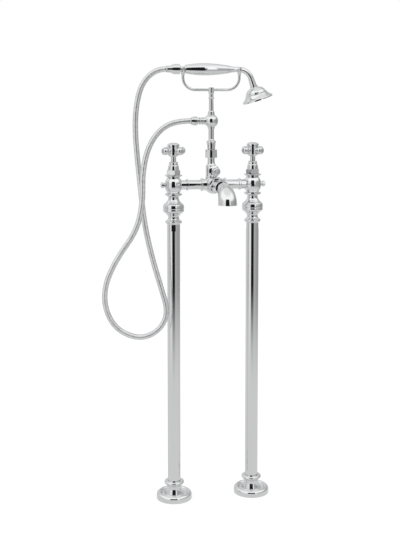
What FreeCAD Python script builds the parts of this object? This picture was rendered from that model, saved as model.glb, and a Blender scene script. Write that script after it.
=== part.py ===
import FreeCAD, Part
import math
import os
import Sketcher
from FreeCAD import Placement, Rotation, Vector

# Floor standing bath filler: two standpipes carry a bridge mixer with a front
# spout, a diverter, a riser with a cradle, and a hand shower on a metal hose.
# Origin on the floor midway between the standpipes, +Z up, -Y to the bather.

SIZES = {
    # feet
    "leg_spacing": 180.0,
    "plate_gap": 2.2,
    "plate_thickness": 5.0,
    "plate_boss_height": 14.0,
    "plate_boss_wall": 2.4,
    "plate_ledge": 2.0,
    "screw_inset": 8.0,
    "screw_hole": 5.5,
    "screw_head": 11.0,
    "inlet_bore": 18.6,
    "inlet_depth": 18.0,
    "cover_radius": 39.8,
    "cover_wall": 2.6,
    "cover_rim_height": 12.8,
    "cover_dish_height": 8.3,
    "cover_bell_radius": 22.4,
    "cover_waist_radius": 17.2,
    "cover_ring_radius": 21.7,
    "cover_ring_height": 8.0,
    "cover_height": 38.5,
    # standpipes
    "tube_od": 29.0,
    "tube_wall": 1.5,
    "tube_top": 609.5,
    "fit": 0.15,
    # head of each standpipe, heights up from the end of the tube
    "spigot_length": 18.0,
    "water_bore": 15.0,
    "sleeve_height": 16.5,
    "band_radius": 18.6,
    "band_height": 8.0,
    "neck_radius": 12.2,
    "neck_height": 9.5,
    "bulb_radius": 23.5,
    "bulb_lower": 16.0,
    "thread_radius": 15.0,
    "thread_height": 8.0,
    "washer_thickness": 1.6,
    "bulb_upper": 27.6,
    "shoulder_radius": 18.5,
    "union_neck_radius": 11.5,
    "tail_radius": 9.3,
    "tail_flange": 3.4,
    "tail_grip": 7.5,
    # valve bodies, heights from the axis of the bridge
    "collar_radius": 18.8,
    "collar_height": 7.5,
    "ball_radius": 19.5,
    "ball_shoulder": 13.2,
    "ball_rise": 16.8,
    "rim_radius": 19.4,
    "rim_height": 5.8,
    "chamber_radius": 11.6,
    "seat_depth": 10.5,
    "plug_radius": 6.6,
    "plug_head": 6.5,
    "plug_boss": 0.5,
    "plug_neck": 2.1,
    # valve heads, heights up from the rim of the valve body
    "nut_flats": 27.4,
    "nut_height": 10.8,
    "nut_flange": 2.6,
    "bell_height": 18.0,
    "bell_flare": 13.4,
    "bell_neck": 8.4,
    "bead_radius": 10.3,
    "headwork_neck": 7.2,
    "spindle_radius": 4.0,
    "disc_radius": 8.6,
    "disc_thickness": 2.0,
    "disc_gap": 0.1,
    # cross handles, heights up from the top of the bell
    "handle_gap": 0.5,
    "handle_neck_radius": 6.0,
    "handle_neck_height": 11.0,
    "hub_radius": 12.7,
    "hub_height": 22.0,
    "hub_bore": 7.2,
    "cap_radius": 11.0,
    "cap_rise": 8.6,
    "arm_height": 12.6,
    "arm_radius": 5.2,
    "arm_reach": 30.0,
    "arm_tip_radius": 8.5,
    "arm_tip_length": 13.0,
    "arm_tip_round": 5.5,
    # bridge
    "bridge_arm_radius": 10.5,
    "bridge_bore": 7.0,
    "bridge_spigot": 8.55,
    "spigot_depth": 9.5,
    "ring_width": 4.2,
    "outer_ring_radius": 12.8,
    "outer_ring_reach": 32.4,
    "inner_ring_radius": 14.4,
    "inner_ring_reach": 28.2,
    "body_radius": 21.0,
    "front_boss_radius": 14.4,
    "front_ring_radius": 16.4,
    "front_reach": 33.0,
    # spout, measured forward from the axis of the bridge
    "union_flats": 28.0,
    "union_length": 20.0,
    "union_spigot": 9.8,
    "spout_tube_radius": 14.0,
    "spout_ring_reach": 92.0,
    "spout_ring_radius": 15.6,
    "spout_neck_radius": 12.4,
    "spout_bend_start": 98.0,
    "spout_bend_reach": 47.0,
    "spout_bend_drop": 31.2,
    "spout_mouth_radius": 19.8,
    "spout_wall": 2.3,
    "outlet_radius": 17.3,
    "outlet_depth": 6.0,
    # diverter, heights from the axis of the bridge
    "barrel_radius": 12.0,
    "barrel_base": 16.4,
    "barrel_top": 43.6,
    "barrel_neck_radius": 8.0,
    "barrel_neck_top": 58.8,
    "coupling_thread": 10.4,
    "coupling_depth": 10.2,
    "riser_bore": 8.4,
    "knob_height": 30.0,
    "bush_radius": 13.4,
    "bush_reach": 12.6,
    "bush_flange": 3.0,
    "bush_nose": 2.4,
    "bush_thread": 7.6,
    "knob_spindle": 3.0,
    "knob_gap": 0.5,
    "knob_radius": 8.4,
    "knob_length": 12.5,
    # riser
    "riser_offset": 5.0,
    "coupling_flats": 26.4,
    "coupling_corner": 14.0,
    "coupling_height": 18.0,
    "riser_collar_radius": 8.7,
    "riser_collar_height": 15.0,
    "riser_ring_radius": 10.7,
    "riser_ring_height": 4.6,
    "riser_radius": 6.15,
    "riser_length": 28.1,
    "tee_radius": 15.4,
    "tee_collar_radius": 7.8,
    "tee_collar_height": 3.2,
    "post_radius": 5.2,
    "post_length": 46.0,
    "post_foot_radius": 7.3,
    "post_foot_height": 3.6,
    "post_bead_radius": 6.9,
    "post_bead_height": 33.0,
    # hose outlet and hose
    "branch_reach": 17.5,
    "branch_radius": 8.2,
    "outlet_neck_radius": 6.6,
    "outlet_bead_radius": 8.7,
    "outlet_length": 14.0,
    "hose_nut_radius": 9.9,
    "hose_nut_length": 14.0,
    "hose_diameter": 12.6,
    "hose_bore": 8.0,
    "hose_rib": 0.6,
    # cradle
    "cradle_half_width": 63.5,
    "cradle_rod": 6.2,
    "cradle_corner": 27.0,
    "cradle_rise": 45.0,
    "fork_clearance": 0.8,
    "tine_radius": 2.7,
    "tine_rise": 5.2,
    "cradle_bead_radius": 4.1,
    "hub_boss_radius": 6.4,
    "cradle_screw": 2.5,
    # hand shower, measured along the handle from the riser's axis
    "grip_start": 59.0,
    "grip_end": 35.6,
    "grip_swell": 17.0,
    "grip_radius": 13.4,
    "grip_left_radius": 9.4,
    "grip_right_radius": 8.9,
    "rest_radius": 6.0,
    "rest_length": 10.0,
    "handset_nut_radius": 11.3,
    "handset_nut_length": 19.0,
    "ferrule_radius": 7.6,
    "ferrule_length": 10.3,
    "handset_thread": 9.0,
    "handset_bore": 4.0,
    "neck_bend_start": 63.0,
    "neck_bend": 29.0,
    "neck_end_radius": 7.7,
    "neck_straight": 17.8,
    "head_radius": 34.4,
    "head_height": 32.0,
    "head_tier_radius": 24.6,
    "head_tier_height": 13.4,
    "head_wall": 1.9,
    "face_thickness": 2.4,
}

KNOB_TURN = 17.0        # degrees that the diverter knob points right of straight ahead
HANDLE_TURN = {"left": 28.5, "right": 31.0}
NUT_TURN = {"left": 30.5, "right": 7.2}
COUPLING_TURN = 18.1
HEAD_TILT = 71.4        # degrees that the hand shower's neck turns down
NECK_SWELL = 0.5        # how much the neck's radius grows round its bend
HOSE_RIBS = 200
UNION_DEPTH = 11.0      # how far the spout's union reaches into the centre body
BARREL_DEPTH = 8.0      # how far the diverter's spigot reaches down into it
QUARTER = math.tan(math.radians(90.0 / 4))


class Size:
    """A length that carries its value and the expression that works it out."""

    def __init__(self, value, text):
        self.value = float(value)
        self.text = text

    def _join(self, other, sign, value):
        return Size(value, f"({self.text} {sign} {as_size(other).text})")

    def __add__(self, other):
        return self._join(other, "+", self.value + number(other))

    def __sub__(self, other):
        return self._join(other, "-", self.value - number(other))

    def __mul__(self, other):
        return self._join(other, "*", self.value * number(other))

    def __truediv__(self, other):
        return self._join(other, "/", self.value / number(other))

    def __neg__(self):
        return Size(-self.value, f"(0 - {self.text})")

    def __radd__(self, other):
        return as_size(other) + self

    def __rsub__(self, other):
        return as_size(other) - self

    def __rmul__(self, other):
        return as_size(other) * self


def as_size(item):
    return item if isinstance(item, Size) else Size(item, f"{float(item):.6f}")


def number(item):
    return item.value if isinstance(item, Size) else float(item)


def root(item):
    return Size(math.sqrt(item.value), f"sqrt({item.text})")


class Sheet:
    """The spreadsheet of driving sizes, read back as Size values."""

    def __init__(self, doc, sizes):
        self.cells = doc.addObject("Spreadsheet::Sheet", "sizes")
        for row, (alias, value) in enumerate(sizes.items(), start=1):
            self.cells.set(f"A{row}", alias)
            self.cells.set(f"B{row}", str(value))
            self.cells.setAlias(f"B{row}", alias)
        doc.recompute()

    def __getattr__(self, alias):
        return Size(self.cells.get(alias), f"sizes.{alias}")


doc = FreeCAD.newDocument("bath_filler")
s = Sheet(doc, SIZES)

# Where a profile is drawn, and which sketch axis it turns about.
TURNING = {
    "z": ("XZ_Plane", "V_Axis"),
    "x": ("XZ_Plane", "H_Axis"),
    "y": ("YZ_Plane", "H_Axis"),
}


def origin_part(body, role):
    return next(item for item in body.Origin.OriginFeatures if item.Role == role)


def bind(item, path, size):
    item.setExpression(path, as_size(size).text)


def new_body(name):
    body = doc.addObject("PartDesign::Body", name)
    body.Label = name
    return body


def new_sketch(body, role, shift=None, turn=None):
    """A sketch on one of the body's own planes, shifted and turned in it."""
    sketch = body.newObject("Sketcher::SketchObject", f"{body.Name}_sketch")
    sketch.AttachmentSupport = [(origin_part(body, role), "")]
    sketch.MapMode = "FlatFace"
    shift = shift or (0, 0, 0)
    rotation = Rotation(Vector(*turn[0]), turn[1]) if turn else Rotation()
    sketch.AttachmentOffset = Placement(Vector(*[number(v) for v in shift]), rotation)
    for axis, value in zip("xyz", shift):
        if isinstance(value, Size):
            bind(sketch, f"AttachmentOffset.Base.{axis}", value)
    return sketch


def pin_point(sketch, index, end, across, up):
    """Hold one end of an edge at its two distances from the sketch's origin."""
    for kind, value, axis in (("DistanceX", across, -2), ("DistanceY", up, -1)):
        if number(value) == 0:
            sketch.addConstraint(Sketcher.Constraint("PointOnObject", index, end, axis))
            continue
        held = sketch.addConstraint(
            Sketcher.Constraint(kind, -1, 1, index, end, number(value)))
        if isinstance(value, Size):
            bind(sketch, f"Constraints[{held}]", value)


def arc_between(start, finish, bulge):
    """The arc whose bulge is the tangent of a quarter of the angle it turns."""
    chord = finish - start
    half = chord.Length / 2
    offset = half * (1 - bulge * bulge) / (2 * bulge)
    side = Vector(-chord.y, chord.x, 0).normalize()
    centre = (start + finish) * 0.5 + side * offset
    radius = half * (1 + bulge * bulge) / (2 * abs(bulge))
    circle = Part.Circle(centre, Vector(0, 0, 1), radius)
    from_start = circle.parameter(start)
    from_finish = circle.parameter(finish)
    if bulge > 0:
        return Part.ArcOfCircle(circle, from_start, from_finish)
    return Part.ArcOfCircle(circle, from_finish, from_start)


def draw_outline(sketch, corners):
    """A closed outline; a corner's third entry bulges the edge that leaves it."""
    spots = [Vector(number(c[0]), number(c[1]), 0) for c in corners]
    ends = []
    for here, corner in enumerate(corners):
        there = (here + 1) % len(corners)
        bulge = corner[2] if len(corner) > 2 else 0
        if bulge == 0:
            index = sketch.addGeometry(Part.LineSegment(spots[here], spots[there]), False)
            ends.append((index, 1, 2))
            continue
        arc = arc_between(spots[here], spots[there], bulge)
        index = sketch.addGeometry(arc, False)
        ends.append((index, 1, 2) if bulge > 0 else (index, 2, 1))
        across = as_size(corners[there][0]) - as_size(corner[0])
        up = as_size(corners[there][1]) - as_size(corner[1])
        share = (1 + bulge * bulge) / (4 * abs(bulge))
        radius = root(across * across + up * up) * share
        held = sketch.addConstraint(Sketcher.Constraint("Radius", index, radius.value))
        bind(sketch, f"Constraints[{held}]", radius)
    for here, (index, first, last) in enumerate(ends):
        follower = ends[(here + 1) % len(ends)]
        sketch.addConstraint(
            Sketcher.Constraint("Coincident", index, last, follower[0], follower[1]))
        pin_point(sketch, index, first, corners[here][0], corners[here][1])


def turn_profile(body, outline, axis="z", cut=False, shift=None):
    """Turn an outline of (radius, place along the axis) corners about an axis."""
    role, spin = TURNING[axis]
    sketch = new_sketch(body, role, shift)
    if axis == "z":
        corners = outline
    else:
        corners = [(c[1], c[0], -c[2]) if len(c) > 2 else (c[1], c[0]) for c in outline]
    draw_outline(sketch, corners)
    kind = "PartDesign::Groove" if cut else "PartDesign::Revolution"
    feature = body.newObject(kind, f"{body.Name}_turn")
    feature.Profile = sketch
    feature.ReferenceAxis = (sketch, [spin])
    feature.Angle = 360
    sketch.Visibility = False
    return feature


def turned(name, outline, axis="z"):
    body = new_body(name)
    turn_profile(body, outline, axis)
    return body


def bored(body, radius, start, end, axis="z", shift=None):
    """Bore a round hole along an axis, from one place on it to another."""
    return turn_profile(
        body, [(0, start), (radius, start), (radius, end), (0, end)], axis, True, shift)


def place(body, x=0, y=0, z=0, turn=None):
    rotation = Rotation(Vector(*turn[0]), turn[1]) if turn else Rotation()
    body.Placement = Placement(Vector(number(x), number(y), number(z)), rotation)
    for axis, value in (("x", x), ("y", y), ("z", z)):
        if isinstance(value, Size):
            bind(body, f"Placement.Base.{axis}", value)
    return body


def circle_sketch(body, role, spots, radius, shift=None, turn=None):
    sketch = new_sketch(body, role, shift, turn)
    for across, up in spots:
        centre = Vector(number(across), number(up), 0)
        index = sketch.addGeometry(
            Part.Circle(centre, Vector(0, 0, 1), number(radius)), False)
        pin_point(sketch, index, 3, across, up)
        held = sketch.addConstraint(Sketcher.Constraint("Radius", index, number(radius)))
        bind(sketch, f"Constraints[{held}]", radius)
    sketch.Visibility = False
    return sketch


def pad_circles(body, role, spots, radius, start, length):
    """Round bars that stand on one of the body's planes, or above it."""
    pad = body.newObject("PartDesign::Pad", f"{body.Name}_pad")
    pad.Profile = circle_sketch(body, role, spots, radius, (0, 0, start))
    pad.Length = number(length)
    bind(pad, "Length", length)
    return pad


def elbow(body, across, pivot, level, radius, turn_back):
    """A quarter bend of round bar, from upright to level, about a pivot beside it."""
    sketch = circle_sketch(body, "XY_Plane", [(across, 0)], radius, (0, 0, level))
    axle = sketch.addGeometry(
        Part.LineSegment(Vector(number(pivot), 0, 0), Vector(number(pivot), 9, 0)), True)
    pin_point(sketch, axle, 1, pivot, 0)
    pin_point(sketch, axle, 2, pivot, 9)
    bend = body.newObject("PartDesign::Revolution", f"{body.Name}_elbow")
    bend.Profile = sketch
    bend.ReferenceAxis = (sketch, ["Axis0"])
    bend.Angle = 90
    bend.Reversed = turn_back
    return bend


def hexagon_pad(body, flats, role, start, length):
    """A six-sided bar of a given size across its flats."""
    sketch = new_sketch(body, role, (0, 0, start))
    corner = flats / math.sqrt(3)
    corners = []
    for step in range(6):
        angle = math.radians(60 * step)
        corners.append((corner * round(math.cos(angle), 9), corner * round(math.sin(angle), 9)))
    draw_outline(sketch, corners)
    pad = body.newObject("PartDesign::Pad", f"{body.Name}_pad")
    pad.Profile = sketch
    pad.Length = number(length)
    bind(pad, "Length", length)
    sketch.Visibility = False
    return pad


def loft(body, kind, name, sections, ruled=False):
    feature = body.newObject(f"PartDesign::{kind}Loft", name)
    feature.Profile = sections[0]
    feature.Sections = sections[1:]
    feature.Ruled = ruled
    return feature


def bevel_hexagon(body, flats, bottom, top, axis="z", bevel=1.6):
    """Turn the corners of a six-sided nut down to a round bevel at both ends."""
    inner = flats / 2 - 0.3
    outer = flats * 0.62
    for face, inward in ((bottom, 1), (top, -1)):
        turn_profile(body, [
            (inner, face), (outer, face), (outer, face + inward * bevel * 2.4),
            (inner + bevel * 1.9, face + inward * bevel),
        ], axis, cut=True)


# ---- heights that several pieces share ------------------------------------

tube_radius = s.tube_od / 2
tube_bore = tube_radius - s.tube_wall
half_spacing = s.leg_spacing / 2
band_foot = s.tube_top + s.sleeve_height
band_top = band_foot + s.band_height
bulb_foot = band_top + s.neck_height
seam = bulb_foot + s.bulb_lower
thread_top = seam + s.thread_height
washer_top = thread_top + s.washer_thickness
tail_flange_top = washer_top + s.tail_flange
valve_foot = seam + s.bulb_upper
axis_z = valve_foot + s.collar_height + 1.0 + s.ball_rise + 0.8
chamber_floor = axis_z - s.seat_depth
rim_foot = axis_z + s.ball_rise
rim_top = rim_foot + s.rim_height
nut_top = rim_top + s.nut_height
bell_top = nut_top + s.bell_height
handle_foot = bell_top + s.handle_gap
hub_foot = handle_foot + s.handle_neck_height
hub_top = hub_foot + s.hub_height
water_radius = s.water_bore / 2


def foot_pieces(side):
    plate_radius = s.cover_radius - s.cover_wall - s.plate_gap
    plate = turned(f"{side}_floor_plate", [
        (tube_bore, 0), (plate_radius, 0), (plate_radius, s.plate_thickness),
        (tube_radius + s.fit + s.plate_boss_wall, s.plate_thickness),
        (tube_radius + s.fit + s.plate_boss_wall, s.plate_boss_height),
        (tube_radius + s.fit, s.plate_boss_height),
        (tube_radius + s.fit, s.plate_ledge), (tube_bore, s.plate_ledge),
    ])
    diagonal = (plate_radius - s.screw_inset) * math.sqrt(0.5)
    spots = [(diagonal, diagonal)]
    top = circle_sketch(plate, "XY_Plane", spots, s.screw_hole / 2, (0, 0, s.plate_thickness))
    doc.recompute()
    hole = plate.newObject("PartDesign::Hole", f"{plate.Name}_hole")
    hole.Profile = top
    hole.DepthType = "ThroughAll"
    hole.HoleCutType = "Countersink"
    hole.Diameter = number(s.screw_hole)
    bind(hole, "Diameter", s.screw_hole)
    hole.HoleCutCustomValues = True
    hole.HoleCutDiameter = number(s.screw_head)
    bind(hole, "HoleCutDiameter", s.screw_head)
    hole.HoleCutCountersinkAngle = 90
    pattern = plate.newObject("PartDesign::PolarPattern", f"{plate.Name}_pattern")
    pattern.Originals = [hole]
    pattern.Axis = (origin_part(plate, "Z_Axis"), [""])
    pattern.Angle = 360
    pattern.Occurrences = 4
    plate.Tip = pattern

    bush = turned(f"{side}_inlet_bush", [
        (s.inlet_bore / 2, 0), (tube_bore - s.fit, 0), (tube_bore - s.fit, s.inlet_depth),
        (s.inlet_bore / 2, s.inlet_depth),
    ])

    pipe = turned(f"{side}_standpipe", [
        (tube_bore, s.plate_ledge), (tube_radius, s.plate_ledge),
        (tube_radius, s.tube_top), (tube_bore, s.tube_top),
    ])
    return [plate, bush, pipe, floor_cover(side)]


def floor_cover(side):
    """The turned cover: dished flange, trumpet bell and a round ring at its top."""
    ring_out = s.cover_ring_radius
    ring_round = s.cover_ring_height / 2
    ring_foot = s.cover_height - s.cover_ring_height
    inner_boss = tube_radius + s.fit * 2 + s.plate_boss_wall + 0.3
    bell_inside = s.plate_boss_height + 1.2
    return turned(f"{side}_floor_cover", [
        (tube_radius + s.fit, s.cover_height),
        (tube_radius + s.fit, bell_inside + 6.0),
        (inner_boss, bell_inside),
        (inner_boss, s.cover_dish_height - s.cover_wall),
        (s.cover_radius - s.cover_wall, s.cover_dish_height - s.cover_wall),
        (s.cover_radius - s.cover_wall, 0),
        (s.cover_radius, 0),
        (s.cover_radius, s.cover_rim_height - 2.2, QUARTER),
        (s.cover_radius - 2.2, s.cover_rim_height),
        (s.cover_radius - 4.2, s.cover_rim_height, 0.25),
        (s.cover_radius - 7.0, s.cover_dish_height + 1.2, -0.2),
        (s.cover_radius - 9.5, s.cover_dish_height),
        (s.cover_bell_radius + 2.0, s.cover_dish_height, -0.3),
        (s.cover_bell_radius, s.cover_dish_height + 2.2, -0.08),
        (s.cover_waist_radius, ring_foot),
        (ring_out - ring_round, ring_foot, QUARTER),
        (ring_out, ring_foot + ring_round, QUARTER),
        (ring_out - ring_round, s.cover_height),
    ])


def leg_head_pieces(side):
    """The turned head of a standpipe, its union nut and the valve's tail."""
    head = turned(f"{side}_leg_head", [
        (water_radius, s.tube_top - s.spigot_length),
        (tube_bore - s.fit, s.tube_top - s.spigot_length),
        (tube_bore - s.fit, s.tube_top),
        (tube_radius, s.tube_top),
        (tube_radius, band_foot),
        (s.band_radius - s.band_height / 2, band_foot, QUARTER),
        (s.band_radius, band_foot + s.band_height / 2, QUARTER),
        (s.band_radius - s.band_height / 2, band_top, -0.15),
        (s.neck_radius, band_top + 2.4),
        (s.neck_radius, bulb_foot + 2.8, -0.15),
        (s.bulb_radius - 6.9, seam - s.bulb_lower * 0.48, 0.18),
        (s.bulb_radius, seam),
        (s.thread_radius, seam),
        (s.thread_radius, thread_top),
        (water_radius, thread_top),
    ])
    nut = turned(f"{side}_union_nut", [
        (s.thread_radius + s.fit, seam),
        (s.bulb_radius, seam, 0.24),
        (s.shoulder_radius, seam + s.bulb_upper * 0.465, -0.1),
        (s.union_neck_radius, seam + s.bulb_upper * 0.71),
        (s.union_neck_radius, valve_foot),
        (s.tail_radius + s.fit, valve_foot),
        (s.tail_radius + s.fit, tail_flange_top + s.fit),
        (s.thread_radius + s.fit, tail_flange_top + s.fit),
    ])
    tail = turned(f"{side}_valve_tail", [
        (water_radius, washer_top),
        (s.thread_radius - s.fit, washer_top),
        (s.thread_radius - s.fit, tail_flange_top),
        (s.tail_radius, tail_flange_top),
        (s.tail_radius, valve_foot + s.tail_grip),
        (water_radius, valve_foot + s.tail_grip),
    ])
    return [head, nut, tail]


def valve_body(side):
    """The ball of the valve with its socket to the bridge and its plug hole."""
    body = new_body(f"{side}_valve_body")
    foot = valve_foot - axis_z
    rim = rim_foot - axis_z
    top = rim_top - axis_z
    seat = -s.seat_depth
    turn_profile(body, [
        (s.tail_radius + s.fit, foot),
        (s.union_neck_radius + 0.6, foot, -0.1),
        (s.collar_radius - 0.6, foot + s.collar_height * 0.5),
        (s.collar_radius, foot + s.collar_height * 0.6),
        (s.collar_radius, foot + s.collar_height - 1.2, QUARTER),
        (s.collar_radius - 1.2, foot + s.collar_height),
        (s.ball_shoulder, foot + s.collar_height + 1.0, 0.18),
        (s.ball_radius, 0, 0.18),
        (s.ball_shoulder, rim),
        (s.rim_radius - 0.8, top - 2.4),
        (s.rim_radius, top - 1.6),
        (s.rim_radius, top - 0.8),
        (s.rim_radius - 0.8, top),
        (s.chamber_radius, top),
        (s.chamber_radius, seat),
        (water_radius, seat),
        (water_radius, foot + s.tail_grip + s.fit),
        (s.tail_radius + s.fit, foot + s.tail_grip + s.fit),
    ])
    reach = s.outer_ring_reach
    turn_profile(body, [
        (s.bridge_bore, s.chamber_radius + 1.0),
        (s.bridge_arm_radius, s.chamber_radius + 1.0),
        (s.bridge_arm_radius, reach - s.ring_width),
        (s.outer_ring_radius - 0.8, reach - s.ring_width),
        (s.outer_ring_radius, reach - s.ring_width + 0.8),
        (s.outer_ring_radius, reach - 0.8),
        (s.outer_ring_radius - 0.8, reach),
        (s.bridge_bore, reach),
    ], "x")
    plug_face = s.ball_radius + s.plug_boss
    turn_profile(body, [
        (0, -(s.chamber_radius + 1.0)), (s.plug_radius - 1.0, -(s.chamber_radius + 1.0)),
        (s.plug_radius - 1.0, -(plug_face - 0.4)), (s.plug_radius - 1.4, -plug_face),
        (0, -plug_face),
    ], "x")
    bored(body, s.bridge_bore, 0, reach, "x")
    bored(body, s.bridge_spigot + s.fit, reach - s.spigot_depth - s.fit, reach, "x")
    bored(body, s.plug_radius * 0.6, -plug_face, 0, "x")
    return body


def side_plug(side):
    stem = s.plug_radius * 0.6 - s.fit
    face = s.ball_radius + s.plug_boss
    return turned(f"{side}_side_plug", [
        (0, -(s.chamber_radius + 1.0)), (stem, -(s.chamber_radius + 1.0)),
        (stem, -face), (s.plug_radius * 0.75, -(face + 0.4)),
        (s.plug_radius * 0.75, -(face + s.plug_neck)),
        (s.plug_radius, -(face + s.plug_neck + 1.0)),
        (s.plug_radius, -(face + s.plug_neck + s.plug_head - 1.6), 0.3),
        (s.plug_radius - 2.0, -(face + s.plug_neck + s.plug_head)),
        (0, -(face + s.plug_neck + s.plug_head)),
    ], "x")


def valve_head_pieces(side):
    """What stands on the valve body: nut, bell, and the headwork inside them."""
    nut = new_body(f"{side}_bonnet_nut")
    hexagon_pad(nut, s.nut_flats, "XY_Plane", rim_top, s.nut_height)
    bevel_hexagon(nut, s.nut_flats, rim_top, nut_top)
    bored(nut, s.chamber_radius + 1.6 + s.fit, rim_top, rim_top + s.nut_flange + s.fit)
    bored(nut, s.chamber_radius - 2.0 + s.fit, rim_top, nut_top)

    bell = turned(f"{side}_bonnet", [
        (s.headwork_neck + s.fit, nut_top),
        (s.bell_flare, nut_top),
        (s.bell_flare, nut_top + 1.0, 0.04),
        (s.bell_neck, nut_top + s.bell_height * 0.66),
        (s.bead_radius - 1.3, nut_top + s.bell_height * 0.69, 0.3),
        (s.bead_radius, nut_top + s.bell_height * 0.82, 0.3),
        (s.bead_radius - 1.6, bell_top),
        (s.spindle_radius + s.handle_gap, bell_top),
        (s.spindle_radius + s.handle_gap, nut_top + s.bell_height * 0.56),
        (s.headwork_neck + s.fit, nut_top + s.bell_height * 0.56),
    ])

    cup = s.disc_radius + s.fit
    headwork = turned(f"{side}_headwork", [
        (cup, chamber_floor), (s.chamber_radius - 1.3, chamber_floor),
        (s.chamber_radius - 1.3, axis_z + 9.0), (s.chamber_radius - s.fit, axis_z + 9.5),
        (s.chamber_radius - s.fit, rim_top), (s.chamber_radius + 1.6, rim_top),
        (s.chamber_radius + 1.6, rim_top + s.nut_flange),
        (s.chamber_radius - 2.0, rim_top + s.nut_flange), (s.chamber_radius - 2.0, nut_top - 1.0),
        (s.headwork_neck, nut_top), (s.headwork_neck, nut_top + s.bell_height * 0.55),
        (s.spindle_radius + s.fit, nut_top + s.bell_height * 0.55),
        (s.spindle_radius + s.fit, axis_z + 8.0), (cup, axis_z + 7.0),
    ])
    bored_across(headwork, s.bridge_bore * 0.75, s.chamber_radius)
    return [nut, bell, headwork]


def bored_across(body, radius, reach):
    """Two side windows in the headwork, level with the bridge."""
    sketch = circle_sketch(body, "YZ_Plane", [(0, axis_z)], radius)
    pocket = body.newObject("PartDesign::Pocket", f"{body.Name}_windows")
    pocket.Profile = sketch
    pocket.Type = "Length"
    pocket.Length = number(reach * 2)
    pocket.Midplane = True
    bind(pocket, "Length", reach * 2)


def handle_pieces(side):
    """A spindle with its cross handle, the screw that holds it, and the cap."""
    disc_foot = chamber_floor + s.disc_thickness + s.disc_gap
    disc_top = disc_foot + s.disc_thickness
    disc = turned(f"{side}_moving_disc", [
        (0, disc_foot), (s.disc_radius - s.handle_gap, disc_foot),
        (s.disc_radius - s.handle_gap, disc_top), (0, disc_top),
    ])
    disc_port(disc, 0, disc_top)
    spindle_top = hub_foot + s.arm_height
    spindle = turned(f"{side}_spindle", [
        (0, disc_top), (s.disc_radius - 1.4, disc_top),
        (s.disc_radius - 1.4, disc_top + s.disc_thickness),
        (s.spindle_radius, disc_top + s.disc_thickness + 0.6),
        (s.spindle_radius, spindle_top), (1.9, spindle_top),
        (1.9, spindle_top - 11.0), (0, spindle_top - 11.0),
    ])
    web = spindle_top + s.fit
    web_top = web + 2.8
    handle = new_body(f"{side}_cross_handle")
    turn_profile(handle, [
        (s.spindle_radius + s.fit, handle_foot), (s.handle_neck_radius, handle_foot),
        (s.handle_neck_radius, hub_foot - 1.2, -0.2),
        (s.hub_radius - 3.4, hub_foot + 0.6),
        (s.hub_radius, hub_foot + 4.0),
        (s.hub_radius, hub_top - 1.2),
        (s.hub_radius - 1.2, hub_top),
        (s.hub_bore, hub_top), (s.hub_bore, web_top), (2.3, web_top), (2.3, web),
        (s.spindle_radius + s.fit, web),
    ])
    tip_foot = s.arm_reach - s.arm_tip_length
    arm_level = hub_foot + s.arm_height
    tip_level = arm_level + s.arm_tip_radius
    sketch = new_sketch(handle, "XZ_Plane")
    draw_outline(sketch, [
        (s.hub_radius - 3.0, arm_level),
        (s.hub_radius - 3.0, arm_level + s.arm_radius),
        (tip_foot, arm_level + s.arm_radius, -0.28),
        (tip_foot + s.arm_tip_round, tip_level),
        (s.arm_reach - s.arm_tip_round, tip_level, -QUARTER),
        (s.arm_reach, tip_level - s.arm_tip_round),
        (s.arm_reach, arm_level),
    ])
    axle = sketch.addGeometry(
        Part.LineSegment(Vector(0, number(arm_level), 0), Vector(5, number(arm_level), 0)), True)
    pin_point(sketch, axle, 1, 0, arm_level)
    pin_point(sketch, axle, 2, 5.0, arm_level)
    arm = handle.newObject("PartDesign::Revolution", f"{handle.Name}_arm")
    arm.Profile = sketch
    arm.ReferenceAxis = (sketch, ["Axis0"])
    arm.Angle = 360
    arms = handle.newObject("PartDesign::PolarPattern", f"{handle.Name}_arms")
    arms.Originals = [arm]
    arms.Axis = (origin_part(handle, "Z_Axis"), [""])
    arms.Angle = 360
    arms.Occurrences = 4
    handle.Tip = arms

    screw = turned(f"{side}_handle_screw", [
        (0, web - 9.0), (1.75, web - 9.0), (1.75, web_top), (4.4, web_top),
        (4.4, web_top + 2.0), (3.4, web_top + 3.0), (0, web_top + 3.0),
    ])
    cap = turned(f"{side}_handle_cap", [
        (0, hub_top - 3.0), (s.hub_bore - s.fit, hub_top - 3.0), (s.hub_bore - s.fit, hub_top),
        (s.cap_radius, hub_top, 0.2), (s.cap_radius * 0.5, hub_top + s.cap_rise * 0.75),
        (s.cap_radius * 0.45, hub_top + s.cap_rise), (0, hub_top + s.cap_rise),
    ])
    return [disc, spindle, handle, screw, cap]


def disc_port(disc, x, top):
    """Two round ports through a ceramic disc; a quarter turn closes them."""
    reach = s.disc_radius * 0.45
    ports = circle_sketch(
        disc, "XY_Plane", [(x + reach, 0), (x - reach, 0)], s.disc_radius * 0.3, (0, 0, top))
    pocket = disc.newObject("PartDesign::Pocket", f"{disc.Name}_ports")
    pocket.Profile = ports
    pocket.Length = number(s.disc_thickness)
    bind(pocket, "Length", s.disc_thickness)


def new_group(name):
    """A node of several separate solids, such as the washers."""
    body = new_body(name)
    body.AllowCompound = True
    return body


def add_ring(body, x, inner, outer, foot, top):
    turn_profile(
        body, [(inner, foot), (outer, foot), (outer, top), (inner, top)], shift=(x, 0, 0))


def fixed_discs():
    """The lower ceramic disc of each valve, seated on the floor of its chamber."""
    body = new_group("fixed_discs")
    top = chamber_floor + s.disc_thickness
    for x in (-half_spacing, half_spacing):
        turn_profile(body, [
            (0, chamber_floor), (s.disc_radius, chamber_floor), (s.disc_radius, top),
            (0, top)], shift=(x, 0, 0))
        disc_port(body, x, top)


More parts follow.
